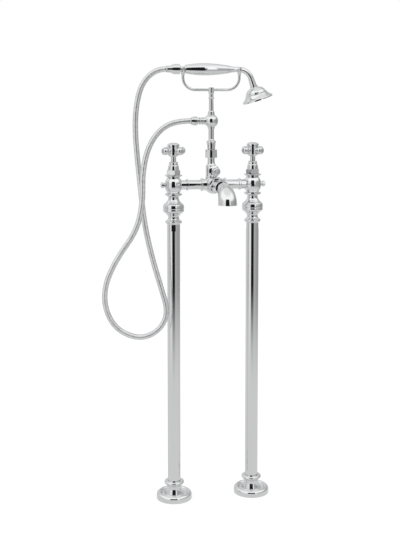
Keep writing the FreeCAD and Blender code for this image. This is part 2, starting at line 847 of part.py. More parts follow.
def fibre_washers():
    """The washers under both union nuts and under the riser's coupling nut."""
    body = new_group("fibre_washers")
    for x in (-half_spacing, half_spacing):
        add_ring(body, x, water_radius, s.thread_radius - s.fit, thread_top, washer_top)
    add_ring(body, -s.riser_offset, s.riser_bore / 2, s.coupling_thread - s.fit,
             riser_foot - s.washer_thickness, riser_foot)


def bridge_arm(side):
    """A tube from the centre body out to a valve body, a spigot at each end."""
    start = s.inner_ring_reach
    finish = half_spacing - s.outer_ring_reach
    return turned(f"{side}_bridge_arm", [
        (s.bridge_bore, start - s.spigot_depth), (s.bridge_spigot, start - s.spigot_depth),
        (s.bridge_spigot, start), (s.bridge_arm_radius, start),
        (s.bridge_arm_radius, finish), (s.bridge_spigot, finish),
        (s.bridge_spigot, finish + s.spigot_depth), (s.bridge_bore, finish + s.spigot_depth),
    ], "x")


def centre_body():
    """The ball that joins the bridge, the spout and the diverter."""
    body = new_body("centre_body")
    turn_profile(body, [
        (0, -s.body_radius, QUARTER), (s.body_radius, 0, 0.27),
        (root(s.body_radius * s.body_radius - s.barrel_base * s.barrel_base), s.barrel_base),
        (0, s.barrel_base),
    ])
    riser_line = (-s.riser_offset, 0, 0)
    seat = s.barrel_radius + 1.0
    turn_profile(body, [
        (0, s.bridge_bore), (seat, s.bridge_bore), (seat, s.barrel_base - 0.6),
        (seat - 0.6, s.barrel_base), (0, s.barrel_base),
    ], shift=riser_line)
    reach = s.inner_ring_reach
    inner = reach - s.ring_width
    turn_profile(body, [
        (0, -reach), (s.inner_ring_radius - 0.8, -reach), (s.inner_ring_radius, -reach + 0.8),
        (s.inner_ring_radius, -inner - 0.8), (s.inner_ring_radius - 0.8, -inner),
        (s.bridge_arm_radius + 1.6, -inner), (s.bridge_arm_radius + 3.4, -s.body_radius * 0.55),
        (s.bridge_arm_radius + 3.4, s.body_radius * 0.55), (s.bridge_arm_radius + 1.6, inner),
        (s.inner_ring_radius - 0.8, inner), (s.inner_ring_radius, inner + 0.8),
        (s.inner_ring_radius, reach - 0.8), (s.inner_ring_radius - 0.8, reach), (0, reach),
    ], "x")
    front = s.front_reach
    turn_profile(body, [
        (0, -front), (s.front_ring_radius - 0.8, -front), (s.front_ring_radius, -front + 0.8),
        (s.front_ring_radius, -front + s.ring_width - 0.8),
        (s.front_ring_radius - 0.8, -front + s.ring_width),
        (s.front_boss_radius, -front + s.ring_width), (s.front_boss_radius, 0), (0, 0),
    ], "y")
    bored(body, s.bridge_bore, -reach, reach, "x")
    for sign in (-1, 1):
        bored(body, s.bridge_spigot + s.fit, sign * reach,
              sign * (reach - s.spigot_depth - s.fit), "x")
    bored(body, s.union_spigot + s.fit, -front, -front + UNION_DEPTH + 1.0, "y")
    bored(body, s.bridge_bore, -front, 0, "y")
    bored(body, s.barrel_neck_radius, s.barrel_base, s.barrel_base - BARREL_DEPTH - 0.2,
          shift=riser_line)
    bored(body, s.riser_bore / 2, s.barrel_base, 0, shift=riser_line)
    return body


def spout_union():
    """The six-sided nipple that joins the spout to the centre body."""
    body = new_body("spout_union")
    start = s.front_reach
    finish = start + s.union_length
    hexagon_pad(body, s.union_flats, "XZ_Plane", start, s.union_length)
    bevel_hexagon(body, s.union_flats, -start, -finish, "y")
    spigot = s.union_spigot
    for near, far in ((start - UNION_DEPTH, start + 1.0), (finish - 1.0, finish + 9.0)):
        turn_profile(body, [
            (0, -near), (spigot, -near), (spigot, -far), (0, -far)], "y")
    bored(body, s.bridge_bore, -(start - UNION_DEPTH), -(finish + 9.0), "y")
    return body


def spout_sections(body, shrink, turns):
    """Round sections along an elliptical bend, wider towards the mouth."""
    growth = s.spout_mouth_radius - s.spout_neck_radius
    forward, down = s.spout_bend_reach, s.spout_bend_drop
    sections = []
    for turn in turns:
        along = math.sin(math.radians(turn))
        left = math.cos(math.radians(turn))
        radius = s.spout_neck_radius + growth * along - shrink
        drop = down * (1 - left)
        reach = s.spout_bend_start + forward * along
        lean = math.degrees(math.atan2(down.value * along, forward.value * left))
        sections.append(circle_sketch(
            body, "XZ_Plane", [(0, 0)], radius, (0, -drop, reach), ((1, 0, 0), lean)))
    return sections


def spout():
    """Tail tube, ring and taper, then the bend that opens out to the mouth."""
    body = new_body("spout")
    start = s.front_reach + s.union_length
    ring = s.spout_ring_reach
    bend = s.spout_bend_start
    turn_profile(body, [
        (0, -start), (s.spout_tube_radius - 0.8, -start), (s.spout_tube_radius, -start - 0.8),
        (s.spout_tube_radius, -ring + 2.6), (s.spout_ring_radius - 0.8, -ring + 2.6),
        (s.spout_ring_radius, -ring + 1.8), (s.spout_ring_radius, -ring - 1.8),
        (s.spout_ring_radius - 0.8, -ring - 2.6), (s.spout_tube_radius - 1.0, -ring - 2.6),
        (s.spout_neck_radius, -bend), (0, -bend),
    ], "y")
    turns = (0.0, 22.5, 45.0, 67.5, 90.0)
    outer = spout_sections(body, 0, turns)
    loft(body, "Additive", "spout_bend_loft", outer)
    inner = spout_sections(body, s.spout_wall, turns)
    loft(body, "Subtractive", "spout_bore_loft", inner)
    bored(body, s.spout_neck_radius - s.spout_wall, -start, -bend, "y")
    bored(body, s.union_spigot + s.fit, -start, -start - 9.2, "y")
    return body


def diverter_pieces():
    """The barrel over the centre body, with its bush, spindle and round knob."""
    side = s.knob_height
    body = new_body("diverter_body")
    turn_profile(body, [
        (s.riser_bore / 2, s.barrel_base - BARREL_DEPTH),
        (s.barrel_neck_radius - s.fit, s.barrel_base - BARREL_DEPTH),
        (s.barrel_neck_radius - s.fit, s.barrel_base), (s.barrel_radius - 1.0, s.barrel_base),
        (s.barrel_radius, s.barrel_base + 1.0), (s.barrel_radius, s.barrel_top - 2.0, QUARTER),
        (s.barrel_radius - 1.8, s.barrel_top, -0.15),
        (s.barrel_neck_radius, s.barrel_top + 9.0),
        (s.barrel_neck_radius, s.barrel_neck_top), (s.coupling_thread, s.barrel_neck_top + 1.0),
        (s.coupling_thread, s.barrel_neck_top + s.coupling_depth),
        (s.riser_bore / 2, s.barrel_neck_top + s.coupling_depth),
    ])
    boss = circle_sketch(body, "YZ_Plane", [(0, side)], s.barrel_radius - 1.2)
    pad = body.newObject("PartDesign::Pad", "diverter_boss")
    pad.Profile = boss
    pad.Length = number(s.bush_reach)
    bind(pad, "Length", s.bush_reach)
    hole = circle_sketch(body, "YZ_Plane", [(0, side)], s.bush_thread + s.fit)
    pocket = body.newObject("PartDesign::Pocket", "diverter_port")
    pocket.Profile = hole
    pocket.Reversed = True
    pocket.Length = number(s.bush_reach)
    bind(pocket, "Length", s.bush_reach)

    thread_end = s.bush_reach - 7.0
    flange = s.bush_reach + s.bush_flange
    bush = turned("diverter_bush", [
        (s.knob_spindle + s.fit, thread_end), (s.bush_thread, thread_end),
        (s.bush_thread, s.bush_reach), (s.bush_radius - 0.6, s.bush_reach),
        (s.bush_radius, s.bush_reach + 0.6), (s.bush_radius, flange - 1.0),
        (s.bush_radius - 1.2, flange, 0.12), (s.knob_radius * 0.8, flange + s.bush_nose),
        (s.knob_spindle + s.fit, flange + s.bush_nose),
    ], "x")
    nose = flange + s.bush_nose + s.knob_gap
    spindle = turned("diverter_spindle", [
        (0, thread_end - 5.0), (s.bush_thread - 2.4, thread_end - 5.0),
        (s.bush_thread - 2.4, thread_end - s.knob_gap), (s.knob_spindle, thread_end - s.knob_gap),
        (s.knob_spindle, nose + s.knob_length - 3.0), (0, nose + s.knob_length - 3.0),
    ], "x")
    knob = turned("diverter_knob", [
        (s.knob_spindle + s.fit, nose), (s.knob_radius * 0.62, nose),
        (s.knob_radius * 0.62, nose + 2.0, -0.3),
        (s.knob_radius - 0.9, nose + 4.4, 0.25), (s.knob_radius, nose + 6.2),
        (s.knob_radius, nose + 8.4, 0.3), (s.knob_radius - 2.2, nose + 10.8),
        (s.knob_radius * 0.42, nose + 11.2), (s.knob_radius * 0.36, nose + s.knob_length),
        (0, nose + s.knob_length), (0, nose + s.knob_length - 2.6),
        (s.knob_spindle + s.fit, nose + s.knob_length - 2.6),
    ], "x")
    facing = ((0, 0, 1), KNOB_TURN - 90.0)
    place(body, -s.riser_offset, 0, axis_z, facing)
    for item in (bush, spindle, knob):
        place(item, -s.riser_offset, 0, axis_z + side, facing)


coupling_foot = axis_z + s.barrel_neck_top + 1.0
coupling_top = coupling_foot + s.coupling_height
riser_foot = axis_z + s.barrel_neck_top + s.coupling_depth + s.washer_thickness
riser_flange = riser_foot + 2.6
ring_foot = coupling_top + s.riser_collar_height + 0.4
stem_foot = ring_foot + s.riser_ring_height
stem_top = stem_foot + s.riser_length + 11.0
tee_z = stem_foot + s.riser_length + s.tee_radius
post_foot = tee_z + s.tee_radius - 1.2 + s.tee_collar_height
cradle_foot = post_foot + s.post_length
bar_z = cradle_foot + s.cradle_rod / 2 + 2.0
handset_z = bar_z + s.cradle_rise


def riser_pieces():
    """Coupling nut, lower riser, ball tee and the post that holds the cradle."""
    nut = new_body("coupling_nut")
    hexagon_pad(nut, s.coupling_flats, "XY_Plane", coupling_foot, s.coupling_height)
    bevel_hexagon(nut, s.coupling_flats, coupling_foot, coupling_top)
    bored(nut, s.coupling_thread + s.fit, coupling_foot, riser_flange + s.fit)
    bored(nut, s.riser_collar_radius - 1.3, coupling_foot, coupling_top)
    corner = s.coupling_corner
    beyond = s.coupling_flats * 0.62
    turn_profile(nut, [
        (corner, coupling_foot), (beyond, coupling_foot), (beyond, coupling_top),
        (corner, coupling_top),
    ], cut=True)
    place(nut, -s.riser_offset, 0, 0, ((0, 0, 1), COUPLING_TURN))

    bore = s.riser_bore / 2
    lower = turned("lower_riser", [
        (bore, riser_foot), (s.coupling_thread - s.fit, riser_foot),
        (s.coupling_thread - s.fit, riser_flange),
        (s.riser_collar_radius - 1.3 - s.fit, riser_flange),
        (s.riser_collar_radius - 1.3 - s.fit, coupling_top),
        (s.riser_collar_radius, coupling_top + 0.4),
        (s.riser_collar_radius + 1.0, ring_foot - 1.4),
        (s.riser_ring_radius - 1.0, ring_foot - 0.4, 0.3),
        (s.riser_ring_radius, ring_foot + s.riser_ring_height * 0.4, 0.3),
        (s.riser_ring_radius - 1.4, stem_foot - 0.6, -0.2),
        (s.riser_radius, stem_foot + 3.0),
        (s.riser_radius, stem_top), (bore, stem_top),
    ])
    place(lower, -s.riser_offset)

    tee = new_body("ball_tee")
    collar_reach = s.tee_radius - 1.2 + s.tee_collar_height
    neck = root(s.tee_radius * s.tee_radius - s.tee_collar_radius * s.tee_collar_radius)
    turn_profile(tee, [
        (bore, -collar_reach), (s.tee_collar_radius - 0.6, -collar_reach),
        (s.tee_collar_radius, -collar_reach + 0.6), (s.tee_collar_radius, -neck, 0.27),
        (s.tee_radius, 0, 0.27), (s.tee_collar_radius, neck),
        (s.tee_collar_radius, collar_reach - 0.6), (s.tee_collar_radius - 0.6, collar_reach),
        (bore, collar_reach),
    ])
    turn_profile(tee, [
        (bore, -5.0), (s.branch_radius, -5.0), (s.branch_radius, -s.branch_reach + 0.6),
        (s.branch_radius - 0.6, -s.branch_reach), (bore, -s.branch_reach),
    ], "x")
    bored(tee, s.riser_radius + s.fit, -collar_reach, stem_top - tee_z + s.fit)
    bored(tee, s.post_radius + s.fit, collar_reach - 9.0 - s.fit, collar_reach)
    bored(tee, bore, -s.branch_reach, 0, "x")
    bored(tee, s.outlet_neck_radius - 0.6 + s.fit, -s.branch_reach, -s.branch_reach + 7.0, "x")
    place(tee, -s.riser_offset, 0, tee_z)

    top = cradle_foot
    post = turned("upper_riser", [
        (0, post_foot - 9.0), (s.post_radius, post_foot - 9.0), (s.post_radius, post_foot),
        (s.post_foot_radius, post_foot),
        (s.post_foot_radius, post_foot + s.post_foot_height - 0.8, 0.25),
        (s.post_radius, post_foot + s.post_foot_height + 1.4),
        (s.post_radius, post_foot + s.post_bead_height - 2.2, -0.2),
        (s.post_bead_radius, post_foot + s.post_bead_height - 0.8, 0.35),
        (s.post_bead_radius, post_foot + s.post_bead_height + 0.8, -0.2),
        (s.post_radius, post_foot + s.post_bead_height + 2.2),
        (s.post_radius, top - 4.4), (s.hub_boss_radius - 0.2, top - 2.0),
        (s.hub_boss_radius - 0.2, top), (s.cradle_screw + s.fit, top),
        (s.cradle_screw + s.fit, top - 8.0), (0, top - 8.0),
    ])
    place(post, -s.riser_offset)


def hose_outlet_pieces():
    """The beaded nipple on the tee, and the nut of the hose."""
    start = s.branch_reach
    end = start + s.outlet_length
    neck = s.outlet_neck_radius
    bead = s.outlet_bead_radius
    beads = []
    for step in (2.6, 8.2):
        beads += [
            (neck, -(start + step - 1.8)), (bead, -(start + step - 0.6), -0.3),
            (bead, -(start + step + 0.6)), (neck, -(start + step + 1.8))]
    nipple = turned("hose_outlet", [
        (s.handset_bore, -(start - 6.8)), (neck - 0.6, -(start - 6.8)), (neck - 0.6, -start),
        (neck, -start), *beads, (neck, -end), (neck + 1.2, -(end + 0.6)),
        (neck + 1.2, -(end + 9.5)), (s.handset_bore, -(end + 9.5)),
    ], "x")
    nut = turned("tee_hose_nut", [
        (neck + 1.2 + s.fit, -(end + 0.2)), (s.hose_nut_radius - 0.8, -(end + 0.2)),
        (s.hose_nut_radius, -(end + 1.0)),
        (s.hose_nut_radius, -(end + s.hose_nut_length * 0.55)),
        (s.hose_nut_radius - 1.9, -(end + s.hose_nut_length)),
        (s.handset_bore, -(end + s.hose_nut_length)),
        (s.handset_bore, -(end + 9.5 + s.fit)),
        (neck + 1.2 + s.fit, -(end + 9.5 + s.fit)),
    ], "x")
    for item in (nipple, nut):
        place(item, -s.riser_offset, 0, tee_z)


def cradle_pieces():
    """A round bar bent up at both ends, each end a fork for the hand shower."""
    body = new_body("cradle")
    half = s.cradle_half_width
    rod = s.cradle_rod / 2
    fork = s.rest_radius + s.fork_clearance + s.tine_radius
    bead = s.cradle_rise - fork - 0.9
    rod_top = bead - 1.5
    corner = s.cradle_corner
    flat = half - corner
    pad_circles(body, "YZ_Plane", [(0, 0)], rod, -flat, flat * 2)
    pad_circles(body, "XY_Plane", [(-half, 0), (half, 0)], rod, corner, rod_top - corner)
    for sign in (-1, 1):
        elbow(body, half * sign, flat * sign, corner, rod, sign < 0)
        knob_on(body, s.cradle_bead_radius, half * sign, 0, bead)

    tines = circle_sketch(
        body, "XY_Plane", [(-half, fork), (half, fork)], s.tine_radius, (0, 0, s.cradle_rise))
    forks = body.newObject("PartDesign::Revolution", "cradle_forks")
    forks.Profile = tines
    forks.ReferenceAxis = (tines, ["H_Axis"])
    forks.Angle = 180
    forks.Reversed = True
    tip = s.cradle_rise + s.tine_rise
    for across, forward in [(a, b) for a in (-half, half) for b in (-fork, fork)]:
        turn_profile(body, [
            (0, s.cradle_rise), (s.tine_radius, s.cradle_rise),
            (s.tine_radius, tip - 1.6, QUARTER), (s.tine_radius - 1.6, tip), (0, tip),
        ], shift=(across, 0, forward))
    turn_profile(body, [
        (0, cradle_foot - bar_z), (s.hub_boss_radius, cradle_foot - bar_z),
        (s.hub_boss_radius, rod + 0.6), (0, rod + 0.6),
    ])
    bored(body, s.cradle_screw + s.fit, cradle_foot - bar_z, rod + 0.6)
    place(body, -s.riser_offset, 0, bar_z)

    cap = turned("cradle_screw", [
        (0, -rod - 2.0 - 7.0), (s.cradle_screw, -rod - 2.0 - 7.0), (s.cradle_screw, rod + 0.6),
        (s.hub_boss_radius - 0.8, rod + 0.6), (s.hub_boss_radius - 0.8, rod + 1.4, 0.3),
        (s.hub_boss_radius - 3.0, rod + 2.8), (0, rod + 2.8),
    ])
    place(cap, -s.riser_offset, 0, bar_z)


def knob_on(body, radius, x, y, z):
    """A ball added to a body."""
    ball = body.newObject("PartDesign::AdditiveSphere", f"{body.Name}_ball")
    ball.AttachmentSupport = [(origin_part(body, "XY_Plane"), "")]
    ball.MapMode = "FlatFace"
    ball.AttachmentOffset = Placement(Vector(number(x), number(y), number(z)), Rotation())
    for axis, value in (("x", x), ("y", y), ("z", z)):
        if isinstance(value, Size):
            bind(ball, f"AttachmentOffset.Base.{axis}", value)
    ball.Radius = number(radius)
    bind(ball, "Radius", radius)


def handset_pieces():
    """Grip, curved neck, bell head with its face, hose nut and ferrule."""
    bore = s.handset_bore
    left = -s.grip_start
    rest_end = left - s.rest_length
    nut_end = rest_end - 1.2 - s.handset_nut_length
    grip = turned("handset_grip", [
        (bore, nut_end + 5.0), (s.handset_thread, nut_end + 5.0),
        (s.handset_thread, rest_end - 1.2), (s.rest_radius + 1.6, rest_end - 1.2),
        (s.rest_radius + 1.6, rest_end), (s.rest_radius, rest_end + 0.6),
        (s.rest_radius, left - 0.6), (s.grip_left_radius - 0.8, left),
        (s.grip_left_radius, left + 1.0, 0.047),
        (s.grip_radius, -s.grip_swell, 0.043),
        (s.grip_right_radius, s.grip_end), (bore, s.grip_end),
    ], "x")
    nut = turned("handset_nut", [
        (s.handset_thread + s.fit, rest_end - 1.2 - 0.2), (s.handset_nut_radius - 1.0, rest_end - 1.4),
        (s.handset_nut_radius, rest_end - 2.4), (s.handset_nut_radius, nut_end + 7.0),
        (s.handset_nut_radius - 2.2, nut_end), (bore, nut_end), (bore, nut_end + 4.8),
        (s.handset_thread + s.fit, nut_end + 4.8),
    ], "x")
    hose_end = nut_end - s.ferrule_length
    ferrule = turned("handset_ferrule", [
        (bore, nut_end), (s.handset_nut_radius - 3.2, nut_end),
        (s.ferrule_radius, nut_end - 1.4), (s.ferrule_radius, hose_end + 0.6),
        (s.ferrule_radius - 0.6, hose_end), (bore, hose_end),
    ], "x")
    neck = handset_neck()
    head, face = handset_head()
    for item in (grip, nut, ferrule, neck):
        place(item, -s.riser_offset, 0, handset_z)
    across, drop = neck_end(s.neck_straight + s.head_height)
    for item in (head, face):
        place(item, across - s.riser_offset, 0, handset_z - drop, ((0, 1, 0), HEAD_TILT - 90.0))


def neck_sections(body, shrink):
    """Round sections round the bend, swelling towards the head."""
    sections = []
    for step in range(5):
        turn = HEAD_TILT * step / 4
        angle = math.radians(turn)
        across = s.neck_bend_start + s.neck_bend * math.sin(angle)
        drop = s.neck_bend * (1 - math.cos(angle))
        radius = s.rest_radius + NECK_SWELL * step / 4 - shrink
        sections.append(circle_sketch(
            body, "YZ_Plane", [(0, 0)], radius, (0, -drop, across), ((1, 0, 0), turn)))
    return sections


def neck_end(length):
    """Where the neck's straight end has got to, across and down from its start."""
    angle = math.radians(HEAD_TILT)
    across = s.neck_bend_start + s.neck_bend * math.sin(angle) + length * math.cos(angle)
    drop = s.neck_bend * (1 - math.cos(angle)) + length * math.sin(angle)
    return across, drop


def neck_section_at(body, length, radius):
    across, drop = neck_end(length)
    return circle_sketch(
        body, "YZ_Plane", [(0, 0)], radius, (0, -drop, across), ((1, 0, 0), HEAD_TILT))


def handset_neck():
    """A taper out of the grip, then a bend down to the head."""
    body = new_body("handset_neck")
    start = s.grip_end
    bend = s.neck_bend_start
    collar = s.grip_right_radius + 0.5
    turn_profile(body, [
        (0, start), (collar, start), (collar, start + 1.6),
        (collar - 0.8, start + 2.2, -0.06), (s.rest_radius, bend - s.rest_length * 0.7),
        (s.rest_radius, bend), (0, bend),
    ], "x")
    loft(body, "Additive", "neck_bend_loft", neck_sections(body, 0))
    swell = s.rest_radius + NECK_SWELL
    straight = s.neck_straight
    loft(body, "Additive", "neck_straight_loft", [
        neck_section_at(body, as_size(0), swell),
        neck_section_at(body, straight, s.neck_end_radius)], ruled=True)
    spigot = straight + 3.4
    loft(body, "Additive", "neck_spigot", [
        neck_section_at(body, straight, s.rest_radius),
        neck_section_at(body, spigot, s.rest_radius)], ruled=True)
    wall = s.rest_radius - s.handset_bore
    loft(body, "Subtractive", "neck_bend_bore", neck_sections(body, wall))
    loft(body, "Subtractive", "neck_end_bore", [
        neck_section_at(body, as_size(0), s.handset_bore + NECK_SWELL),
        neck_section_at(body, spigot, s.handset_bore + NECK_SWELL)], ruled=True)
    bored(body, s.handset_bore, start, bend, "x")
    return body


def handset_head():
    """The bell: a rim, a flare, a step, and a dome up to the neck."""
    rim = s.head_radius
    tier = s.head_tier_radius
    level = s.head_tier_height
    wall = s.head_wall
    height = s.head_height
    collar = s.neck_end_radius + 0.9
    head = turned("handset_head", [
        (rim - wall, 0), (rim, 0), (rim, 2.4, 0.25), (rim - 1.2, 4.2, -0.14),
        (tier + 0.8, level - 1.2), (tier, level), (tier, level + 1.4),
        (tier - 1.8, level + 2.2, 0.2), (tier - 9.4, level + 12.6, -0.12),
        (collar, height - 2.4), (collar, height), (s.rest_radius + s.fit, height),
        (s.rest_radius + s.fit, height - 3.6), (tier - 11.0, level + 10.2, -0.18),
        (tier - 3.6, level + 1.6), (tier - 1.2, level - 2.6, 0.12), (rim - wall - 1.6, 4.2),
        (rim - wall - 1.6, s.face_thickness + s.fit), (rim - wall, s.face_thickness + s.fit),
    ])
    face = turned("handset_face", [
        (0, 0.4), (rim - wall - 2.6, 0.4), (rim - wall - s.fit, 1.2),
        (rim - wall - s.fit, s.face_thickness), (0, s.face_thickness),
    ])
    return head, face


# ---- the hose ---------------------------------------------------------------

hose_start = s.riser_offset + s.branch_reach + s.outlet_length + s.hose_nut_length
hose_end = (s.riser_offset + s.grip_start + s.rest_length + 1.2 + s.handset_nut_length
            + s.ferrule_length)


def hose_route():
    """Points the hose bends round, from the tee's nut to the hand shower."""
    tee, top = tee_z.value, handset_z.value
    return [Vector(*point) for point in (
        (-hose_start.value, 0, tee), (-84, 0, tee), (-122, -7, 836), (-149, -14, 797),
        (-162, -20, 742), (-162, -25, 680), (-176, -28, 617), (-221, -28, 556),
        (-247, -28, 499), (-247, -29, 445), (-219, -30, 398), (-171, -32, 379),
        (-141, -33, 385), (-117, -34, 405), (-106, -34, 434), (-118, -30, 492),
        (-138, -21, 560), (-154, -8, 632), (-161, 4, 706), (-166, 8, 770),
        (-172, 5, 830), (-177, 2, 884), (-177, 1, 922), (-162, 0, 952), (-134, 0, top),
        (-hose_end.value, 0, top),
    )]


def rounded_path(route):
    """Straight runs joined by arcs as large as the shorter run beside each allows."""
    edges = []
    last = route[0]
    radii = []
    for before, corner, after in zip(route, route[1:], route[2:]):
        back = before - corner
        ahead = after - corner
        turn = math.pi - back.getAngle(ahead)
        reach = 0.45 * min(back.Length, ahead.Length)
        radii.append(reach / math.tan(turn / 2))
        back.normalize()
        ahead.normalize()
        entry = corner + back * reach
        leave = corner + ahead * reach
        inward = (back + ahead).normalize()
        middle = corner + inward * (math.hypot(radii[-1], reach) - radii[-1])
        edges.append(Part.LineSegment(last, entry).toShape())
        edges.append(Part.Arc(entry, middle, leave).toShape())
        last = leave
    edges.append(Part.LineSegment(last, route[-1]).toShape())
    print("hose bends, mm:", [round(r) for r in radii])
    return Part.Wire(edges)


def ring_at(path, distance, radius):
    """A circle square to the path, its start always on the same side of it."""
    for edge in path.Edges:
        if distance <= edge.Length + 1e-6:
            break
        distance -= edge.Length
    place_on = edge.getParameterByLength(min(distance, edge.Length))
    if edge.Orientation == "Reversed":
        place_on = edge.getParameterByLength(max(edge.Length - distance, 0))
    centre = edge.valueAt(place_on)
    along = edge.tangentAt(place_on)
    start = Vector(0, 1, 0) - along * along.y
    circle = Part.Circle(Vector(0, 0, 0), Vector(0, 0, 1), radius).toShape()
    circle.Placement = Placement(centre, Rotation(start, along.cross(start), along, "XYZ"))
    return Part.Wire([circle])


def hose():
    """A metal hose: plain at both ends, ribbed between them, bored through."""
    path = rounded_path(hose_route())
    radius = s.hose_diameter.value / 2
    bore = s.hose_bore.value / 2
    plain = s.hose_diameter.value
    pitch = (path.Length - 2 * plain) / HOSE_RIBS
    valley = radius - s.hose_rib.value
    stations = [(0, radius), (plain - 0.4, radius)]
    for rib in range(HOSE_RIBS):
        foot = plain + rib * pitch
        stations += [(foot, valley), (foot + 0.25 * pitch, radius),
                     (foot + 0.6 * pitch, radius), (foot + 0.85 * pitch, valley)]
    stations += [(path.Length - plain + 0.4, radius), (path.Length, radius)]
    outer = [ring_at(path, far, wide) for far, wide in stations]
    bore_steps = 60
    inner = [ring_at(path, path.Length * step / bore_steps, bore)
             for step in range(bore_steps + 1)]
    faces = Part.makeLoft(outer, False, True).Faces + Part.makeLoft(inner, False, True).Faces
    for end in (0, -1):
        faces.append(Part.makeFace([outer[end], inner[end]], "Part::FaceMakerBullseye"))
    shell = Part.makeShell(faces)
    shell.sewShape()
    solid = Part.makeSolid(shell)
    if solid.Volume < 0:
        solid.reverse()
    section = math.pi * (radius * radius - bore * bore)
    print("hose length", round(path.Length, 1), "volume", round(solid.Volume),
          "plain section times length", round(section * path.Length))
    feature = doc.addObject("Part::Feature", "hose")
    feature.Shape = solid
    return feature


LEG_TURN = {"left": None, "right": ((0, 0, 1), 180.0)}
for side, sign in (("left", -1), ("right", 1)):
    x = half_spacing * sign
    nut, *head_pieces = valve_head_pieces(side)
    place(nut, x, 0, 0, ((0, 0, 1), NUT_TURN[side]))
    for item in foot_pieces(side) + leg_head_pieces(side) + head_pieces:
        place(item, x)
    for item in (valve_body(side), side_plug(side)):
        place(item, x, 0, axis_z, LEG_TURN[side])
    for item in handle_pieces(side):
        place(item, x, 0, 0, ((0, 0, 1), HANDLE_TURN[side]))
    place(bridge_arm(side), 0, 0, axis_z, None if side == "right" else ((0, 0, 1), 180.0))
place(centre_body(), 0, 0, axis_z)
place(spout_union(), 0, 0, axis_z)
place(spout(), 0, 0, axis_z)
diverter_pieces()
riser_pieces()
hose_outlet_pieces()
cradle_pieces()
handset_pieces()
fixed_discs()
fibre_washers()
hose()
doc.recompute()

os.makedirs("parts", exist_ok=True)
bodies = [item for item in doc.Objects
          if item.TypeId in ("PartDesign::Body", "Part::Feature")]
faults = [item.Name for item in doc.Objects
          if "Invalid" in item.State or "Error" in item.State]
faults += [body.Label for body in bodies
           if body.Shape.isNull() or not body.Shape.isValid()]
if faults:
    raise RuntimeError(f"not built: {faults}")
for body in bodies:
    shape = body.Shape
    print(body.Label, len(shape.Solids), round(shape.Volume, 1))
    shape.exportStep(f"parts/{body.Label}.step")
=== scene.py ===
# A floor standing bath filler: the camera, the hose, the materials, the finer turned
# pieces, the nozzles and the studio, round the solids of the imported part.
# Sizes are in metres and angles in degrees unless a comment says otherwise.
import math

import bmesh
import bpy
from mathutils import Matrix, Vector


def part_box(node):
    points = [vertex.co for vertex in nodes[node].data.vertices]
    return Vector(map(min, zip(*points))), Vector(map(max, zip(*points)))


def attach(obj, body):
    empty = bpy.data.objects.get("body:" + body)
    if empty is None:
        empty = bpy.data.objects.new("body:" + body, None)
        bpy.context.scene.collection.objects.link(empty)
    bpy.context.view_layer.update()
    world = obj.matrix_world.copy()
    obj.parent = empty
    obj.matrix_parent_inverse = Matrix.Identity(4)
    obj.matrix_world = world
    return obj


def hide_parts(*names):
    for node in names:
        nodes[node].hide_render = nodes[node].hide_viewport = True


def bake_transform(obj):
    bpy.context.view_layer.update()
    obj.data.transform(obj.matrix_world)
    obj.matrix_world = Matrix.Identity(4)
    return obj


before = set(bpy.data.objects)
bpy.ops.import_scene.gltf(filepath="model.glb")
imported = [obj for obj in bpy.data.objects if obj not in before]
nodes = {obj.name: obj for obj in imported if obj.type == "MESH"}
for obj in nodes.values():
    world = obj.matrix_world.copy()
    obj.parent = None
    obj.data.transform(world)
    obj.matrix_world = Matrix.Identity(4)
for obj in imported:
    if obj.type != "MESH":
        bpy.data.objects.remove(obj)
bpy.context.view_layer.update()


# ---- the camera -----------------------------------------------------------------

CAMERA_PLACE = (-0.4450, -2.1140, 0.9032)
CAMERA_TURN = 11.099        # to the right of straight ahead
CAMERA_DROP = 5.064         # below level
CAMERA_LENS = 62.505        # millimetres
CAMERA_SENSOR = 36          # millimetres, along the photograph's long side
CAMERA_SHIFT = -95 / 560    # the optical axis is 95 of 560 pixels above the middle


def make_camera():
    data = bpy.data.cameras.new("camera")
    data.sensor_width = CAMERA_SENSOR
    data.lens = CAMERA_LENS
    data.shift_y = CAMERA_SHIFT
    camera = bpy.data.objects.new("camera", data)
    camera.location = CAMERA_PLACE
    camera.rotation_euler = (math.radians(90 - CAMERA_DROP), 0, -math.radians(CAMERA_TURN))
    bpy.context.scene.collection.objects.link(camera)
    bpy.context.scene.camera = camera


make_camera()


# ---- meshes made of rings ---------------------------------------------------------

def add_mesh(name, verts, faces, smooth=True):
    mesh = bpy.data.meshes.new(name)
    mesh.from_pydata(verts, [], faces)
    mesh.update()
    if smooth:
        mesh.shade_smooth()
    piece = bpy.data.objects.new(name, mesh)
    bpy.context.scene.collection.objects.link(piece)
    return piece


def ring_points(centre, first, second, radius, sides):
    """Points of a circle, which goes from the first direction to the second one."""
    points = []
    for step in range(sides):
        angle = 2 * math.pi * step / sides
        points.append(centre + (first * math.cos(angle) + second * math.sin(angle)) * radius)
    return points


def ring_faces(rings, sides, base=0, closed=False):
    """The faces between rings of points, and from the last to the first if closed."""
    faces = []
    for ring in range(rings if closed else rings - 1):
        low = base + ring * sides
        high = base + (ring + 1) % rings * sides
        for step in range(sides):
            after = (step + 1) % sides
            faces.append((low + step, low + after, high + after, high + step))
    return faces


# ---- the hose -------------------------------------------------------------------

HOSE_DIAMETER = 0.0126
HOSE_PITCH = 0.0026         # from rib to rib, before it is fitted to the length
HOSE_GROOVE = 0.0005        # depth of the groove between two ribs
HOSE_SIDES = 24
HOSE_COLLAR = 0.005         # plain length at each end
COLLAR_DIP = 0.0001         # how far a collar lies under the ribs' crests
COLLAR_STEP = 0.0004        # length of the step from a collar to the first groove
LINE_STEPS = 48             # how finely the hose's line is divided between route points

